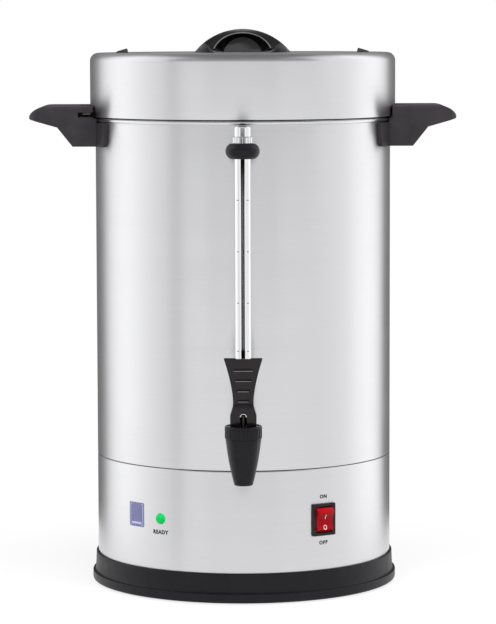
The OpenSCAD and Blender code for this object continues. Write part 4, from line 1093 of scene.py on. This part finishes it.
# Nodes whose finish differs from their slot's: all three are darkened as painted shade, the gasket
# in the gap under the lid's hem, the stem in the lever's keyhole and the lugs in the handles'
# windows
OWN_FINISH = {"lid_gasket": "shade_silicone", "tap_stem": "stem_shade_steel", "lid_lugs": "lug_shade_steel"}


class URN_OT_finishes(UrnOperator, bpy.types.Operator):
    """Gives every CAD node that is shown the finish of its slot"""

    bl_idname = "urn.finishes"
    bl_label = "Finishes of the other parts"

    def execute(self, context):
        for row in frame["record"]["subparts"]:
            node = frame["nodes"][row["node"]]
            material = finish_for(OWN_FINISH.get(row["node"], row["material_slot"]))
            for place in node.material_slots:
                place.material = material
        return {"FINISHED"}


# ------------------------------------------------------------------- stage


def lamp(name, place, target, size, watts):
    """A white area lamp that faces a point."""
    data = bpy.data.lights.new(name, "AREA")
    data.shape = "RECTANGLE"
    data.size, data.size_y = size
    data.energy = watts
    obj = bpy.data.objects.new(name, data)
    obj.location = place
    obj.visible_glossy = False
    obj.rotation_euler = (Vector(target) - Vector(place)).to_track_quat("-Z", "Y").to_euler()
    bpy.context.scene.collection.objects.link(obj)


def seen_directly(material):
    """1 for rays that show the background itself: camera, mirror and glass rays."""
    path = add_node(material, "ShaderNodeLightPath")
    first = add_node(
        material,
        "ShaderNodeMath",
        {0: path.outputs["Is Camera Ray"], 1: path.outputs["Is Glossy Ray"]},
        operation="MAXIMUM",
    )
    return add_node(
        material,
        "ShaderNodeMath",
        {0: first.outputs["Value"], 1: path.outputs["Is Transmission Ray"]},
        operation="MAXIMUM",
    ).outputs["Value"]


# Brightness of the studio wall by the angle from straight ahead, in degrees,
# negative to the left: a dim bay behind, two tall soft boxes beside it
WALL_GLOW = [
    (-180, 0.25), (-165, 0.18), (-148, 0.2), (-138, 0.36), (-128, 0.92), (-119, 1.24), (-107, 1.4),
    (-95, 1.36), (-80, 1.16), (-66, 1.0), (-58, 0.96), (-56, 0.8), (-48, 0.8), (-46, 1.05),
    (0, 1.1), (36, 1.04), (62, 0.99), (84, 1.08), (98, 1.3), (110, 1.42), (122, 1.36),
    (132, 0.98), (142, 0.26), (165, 0.18), (180, 0.25),
]
# Other parts of the studio wall: glow, least and greatest angle either side of the front,
# lowest and highest point
WALL_PARTS = (
    (0.04, 0, 28, 0.26, 0.41),
    (0.3, 0, 60, 1.1, 3.05),
    (0.34, 142, 184, 1.25, 3.05),
)
# The roof is dark over the middle and bright towards the two soft boxes
ROOF_GLOW = (0.22, 1.1)
# Strength of the even light on what isn't seen directly
SOFT_LIGHT = 0.42
# The floor's radius; the studio wall's radius, height and middle
FLOOR_R = 0.42
DRUM_R, DRUM_HEIGHT, DRUM_MIDDLE = 2.4, 3.6, 1.3
# Lamps: name, place, target, size, watts
LAMPS = (
    ("key", (-1.1, -2.0, 1.9), (0, 0, 0.28), (0.9, 1.4), 40),
    ("fill", (1.7, -1.5, 1.2), (0, 0, 0.3), (1.0, 1.6), 8),
    ("top", (0.35, -0.8, 2.3), (0, 0, 0.3), (1.2, 1.2), 55),
)
# The camera stands a little to the right and leans a little
CAMERA_X, CAMERA_LEAN = 0.0046, -0.003


class URN_OT_stage(UrnOperator, bpy.types.Operator):
    """Sets the floor, the studio wall, the lamps, the world and the camera"""

    bl_idname = "urn.stage"
    bl_label = "Stage and camera"

    def execute(self, context):
        scene = context.scene
        s = scene.urn_stage
        scene.view_settings.view_transform = "Standard"

        # Floor: white as seen, with the urn's shadow on it
        floor_material = new_material("painted_floor_white")
        # Patches of paint, about half a metre across
        cloud = pattern(floor_material, (2, 2, 2))
        paint = add_node(
            floor_material,
            "ShaderNodeBsdfDiffuse",
            {"Color": tint(floor_material, cloud, srgb("#e4e4e4"), srgb("#e8e8e8"))},
        )
        # Seen directly, the floor glows a little beside the urn and fully farther out
        place = add_node(floor_material, "ShaderNodeTexCoord")
        away = add_node(
            floor_material, "ShaderNodeVectorMath", {0: place.outputs["Object"]}, operation="LENGTH"
        )
        far = spread(floor_material, away.outputs["Value"], 0.8, 1.0, 0.17, 0.4)
        shown = add_node(
            floor_material,
            "ShaderNodeMath",
            {0: far, 1: seen_directly(floor_material)},
            operation="MULTIPLY",
        )
        white = add_node(floor_material, "ShaderNodeEmission", {"Strength": 1.0})
        both = add_node(
            floor_material,
            "ShaderNodeMixShader",
            {0: shown.outputs["Value"], 1: paint.outputs["BSDF"], 2: white.outputs["Emission"]},
        )
        bm = bmesh.new()
        bmesh.ops.create_circle(bm, cap_ends=True, segments=96, radius=FLOOR_R)
        mesh = bpy.data.meshes.new("floor")
        bm.to_mesh(mesh)
        bm.free()
        mesh.materials.append(shade(floor_material, both.outputs["Shader"]))
        floor = bpy.data.objects.new("floor", mesh)
        floor.location.z = CAD_BOX[0][2] - 0.2 * MM
        scene.collection.objects.link(floor)

        # Studio wall: a glowing drum that metal and glass reflect
        glow = new_material("studio_wall_cloth")
        place = add_node(glow, "ShaderNodeTexCoord")
        axes = add_node(glow, "ShaderNodeSeparateXYZ", {"Vector": place.outputs["Object"]})
        back = add_node(
            glow, "ShaderNodeMath", {0: axes.outputs["Y"], 1: -1.0}, operation="MULTIPLY"
        )
        angle = add_node(
            glow,
            "ShaderNodeMath",
            {0: axes.outputs["X"], 1: back.outputs["Value"]},
            operation="ARCTAN2",
        )
        turn = spread(glow, angle.outputs["Value"], 0.0, 1.0, -math.pi, math.pi)
        ramp = add_node(glow, "ShaderNodeValToRGB", {"Fac": turn})
        stops = ramp.color_ramp.elements
        for k, (degrees, value) in enumerate(WALL_GLOW):
            at = (degrees + 180) / 360
            stop = stops[k] if k < 2 else stops.new(at)
            stop.position = at
            stop.color = (value, value, value, 1)
        # A dark card stands level with the lens in front, so bright fittings keep a dark middle;
        # the front is dim high up, and the back is lighter there, where the lid's top mirrors it
        level = add_node(glow, "ShaderNodeMath", {0: angle.outputs["Value"]}, operation="ABSOLUTE")
        shown = ramp.outputs["Color"]
        for value, near, off, bottom, top in WALL_PARTS:
            near, off = math.radians(near), math.radians(off)
            part = 1.0
            for edge in (
                spread(glow, level.outputs["Value"], 0.0, 1.0, near - 0.05, near),
                spread(glow, level.outputs["Value"], 1.0, 0.0, off - 0.05, off),
                spread(glow, axes.outputs["Z"], 0.0, 1.0, bottom, bottom + 0.05),
                spread(glow, axes.outputs["Z"], 1.0, 0.0, top - 0.05, top),
            ):
                within = add_node(
                    glow, "ShaderNodeMath", {0: edge, 1: part}, operation="MULTIPLY"
                )
                part = within.outputs["Value"]
            grey = (value, value, value, 1)
            dimmed = add_node(
                glow, "ShaderNodeMix", {0: part, 6: shown, 7: grey}, data_type="RGBA"
            )
            shown = dimmed.outputs[2]
        side = add_node(glow, "ShaderNodeMath", {0: axes.outputs["X"]}, operation="ABSOLUTE")
        roof = spread(glow, side.outputs["Value"], *ROOF_GLOW, 1.1, 2.1)
        overhead = spread(glow, axes.outputs["Z"], 0.0, 1.0, 3.03, 3.08)
        dimmed = add_node(
            glow, "ShaderNodeMix", {0: overhead, 6: shown, 7: roof}, data_type="RGBA"
        )
        emit = add_node(glow, "ShaderNodeEmission", {"Color": dimmed.outputs[2], "Strength": 1.0})
        shade(glow, emit.outputs["Emission"])
        bm = bmesh.new()
        bmesh.ops.create_cone(
            bm,
            cap_ends=True,
            segments=96,
            radius1=DRUM_R,
            radius2=DRUM_R,
            depth=DRUM_HEIGHT,
            matrix=Matrix.Translation((0, 0, DRUM_MIDDLE)),
        )
        mesh = bpy.data.meshes.new("studio_wall")
        bm.to_mesh(mesh)
        bm.free()
        mesh.materials.append(glow)
        wall = bpy.data.objects.new("studio_wall", mesh)
        scene.collection.objects.link(wall)
        wall.visible_camera = False
        wall.visible_diffuse = False
        wall.visible_shadow = False

        world = bpy.data.worlds.new("studio")
        scene.world = world
        world.use_nodes = True
        world.node_tree.nodes.clear()
        shown, soft = (
            add_node(world, "ShaderNodeBackground", {"Color": (1, 1, 1, 1), "Strength": strength})
            for strength in (1.0, SOFT_LIGHT)
        )
        both = add_node(world, "ShaderNodeMixShader", {"Fac": seen_directly(world)})
        world.node_tree.links.new(soft.outputs["Background"], both.inputs[1])
        world.node_tree.links.new(shown.outputs["Background"], both.inputs[2])
        add_node(world, "ShaderNodeOutputWorld", {"Surface": both.outputs["Shader"]})

        for row in LAMPS:
            lamp(*row)

        data = bpy.data.cameras.new("camera")
        data.sensor_width = 36
        data.lens = s.lens
        data.clip_start = 0.05
        camera = bpy.data.objects.new("camera", data)
        camera.matrix_world = (
            Matrix.Translation((CAMERA_X, -s.distance, s.height))
            @ Matrix.Rotation(math.radians(90) - s.tilt, 4, "X")
            @ Matrix.Rotation(CAMERA_LEAN, 4, "Z")
        )
        scene.collection.objects.link(camera)
        scene.camera = camera
        return {"FINISHED"}


STEPS = (
    URN_OT_finishes,
    URN_OT_walls,
    URN_OT_base,
    URN_OT_lid,
    URN_OT_handles,
    URN_OT_gauge,
    URN_OT_tap,
    URN_OT_switch,
    URN_OT_legends,
    URN_OT_stage,
)


class URN_PT_panel(bpy.types.Panel):
    """Lists the steps that dress the urn"""

    bl_idname = "URN_PT_panel"
    bl_label = "Coffee urn"
    bl_space_type = "VIEW_3D"
    bl_region_type = "UI"
    bl_category = "Coffee urn"

    def draw(self, context):
        column = self.layout.column(align=True)
        for step in STEPS:
            column.operator(step.bl_idname)
        for key, group in SETTINGS.items():
            box = self.layout.box()
            box.label(text=group.__doc__)
            for name in group.__annotations__:
                box.prop(getattr(context.scene, key), name)


def register():
    for cls in (*SETTINGS.values(), *STEPS, URN_PT_panel):
        bpy.utils.register_class(cls)
    for key, group in SETTINGS.items():
        setattr(bpy.types.Scene, key, bpy.props.PointerProperty(type=group))


def unregister():
    for key in SETTINGS:
        delattr(bpy.types.Scene, key)
    for cls in reversed((*SETTINGS.values(), *STEPS, URN_PT_panel)):
        bpy.utils.unregister_class(cls)


def main():
    register()
    bpy.ops.urn.finishes()
    bpy.ops.urn.walls()
    bpy.ops.urn.base()
    bpy.ops.urn.lid()
    bpy.ops.urn.handles()
    bpy.ops.urn.gauge()
    bpy.ops.urn.tap()
    bpy.ops.urn.switch()
    bpy.ops.urn.legends()
    bpy.ops.urn.stage()


if __name__ == "__main__":
    main()
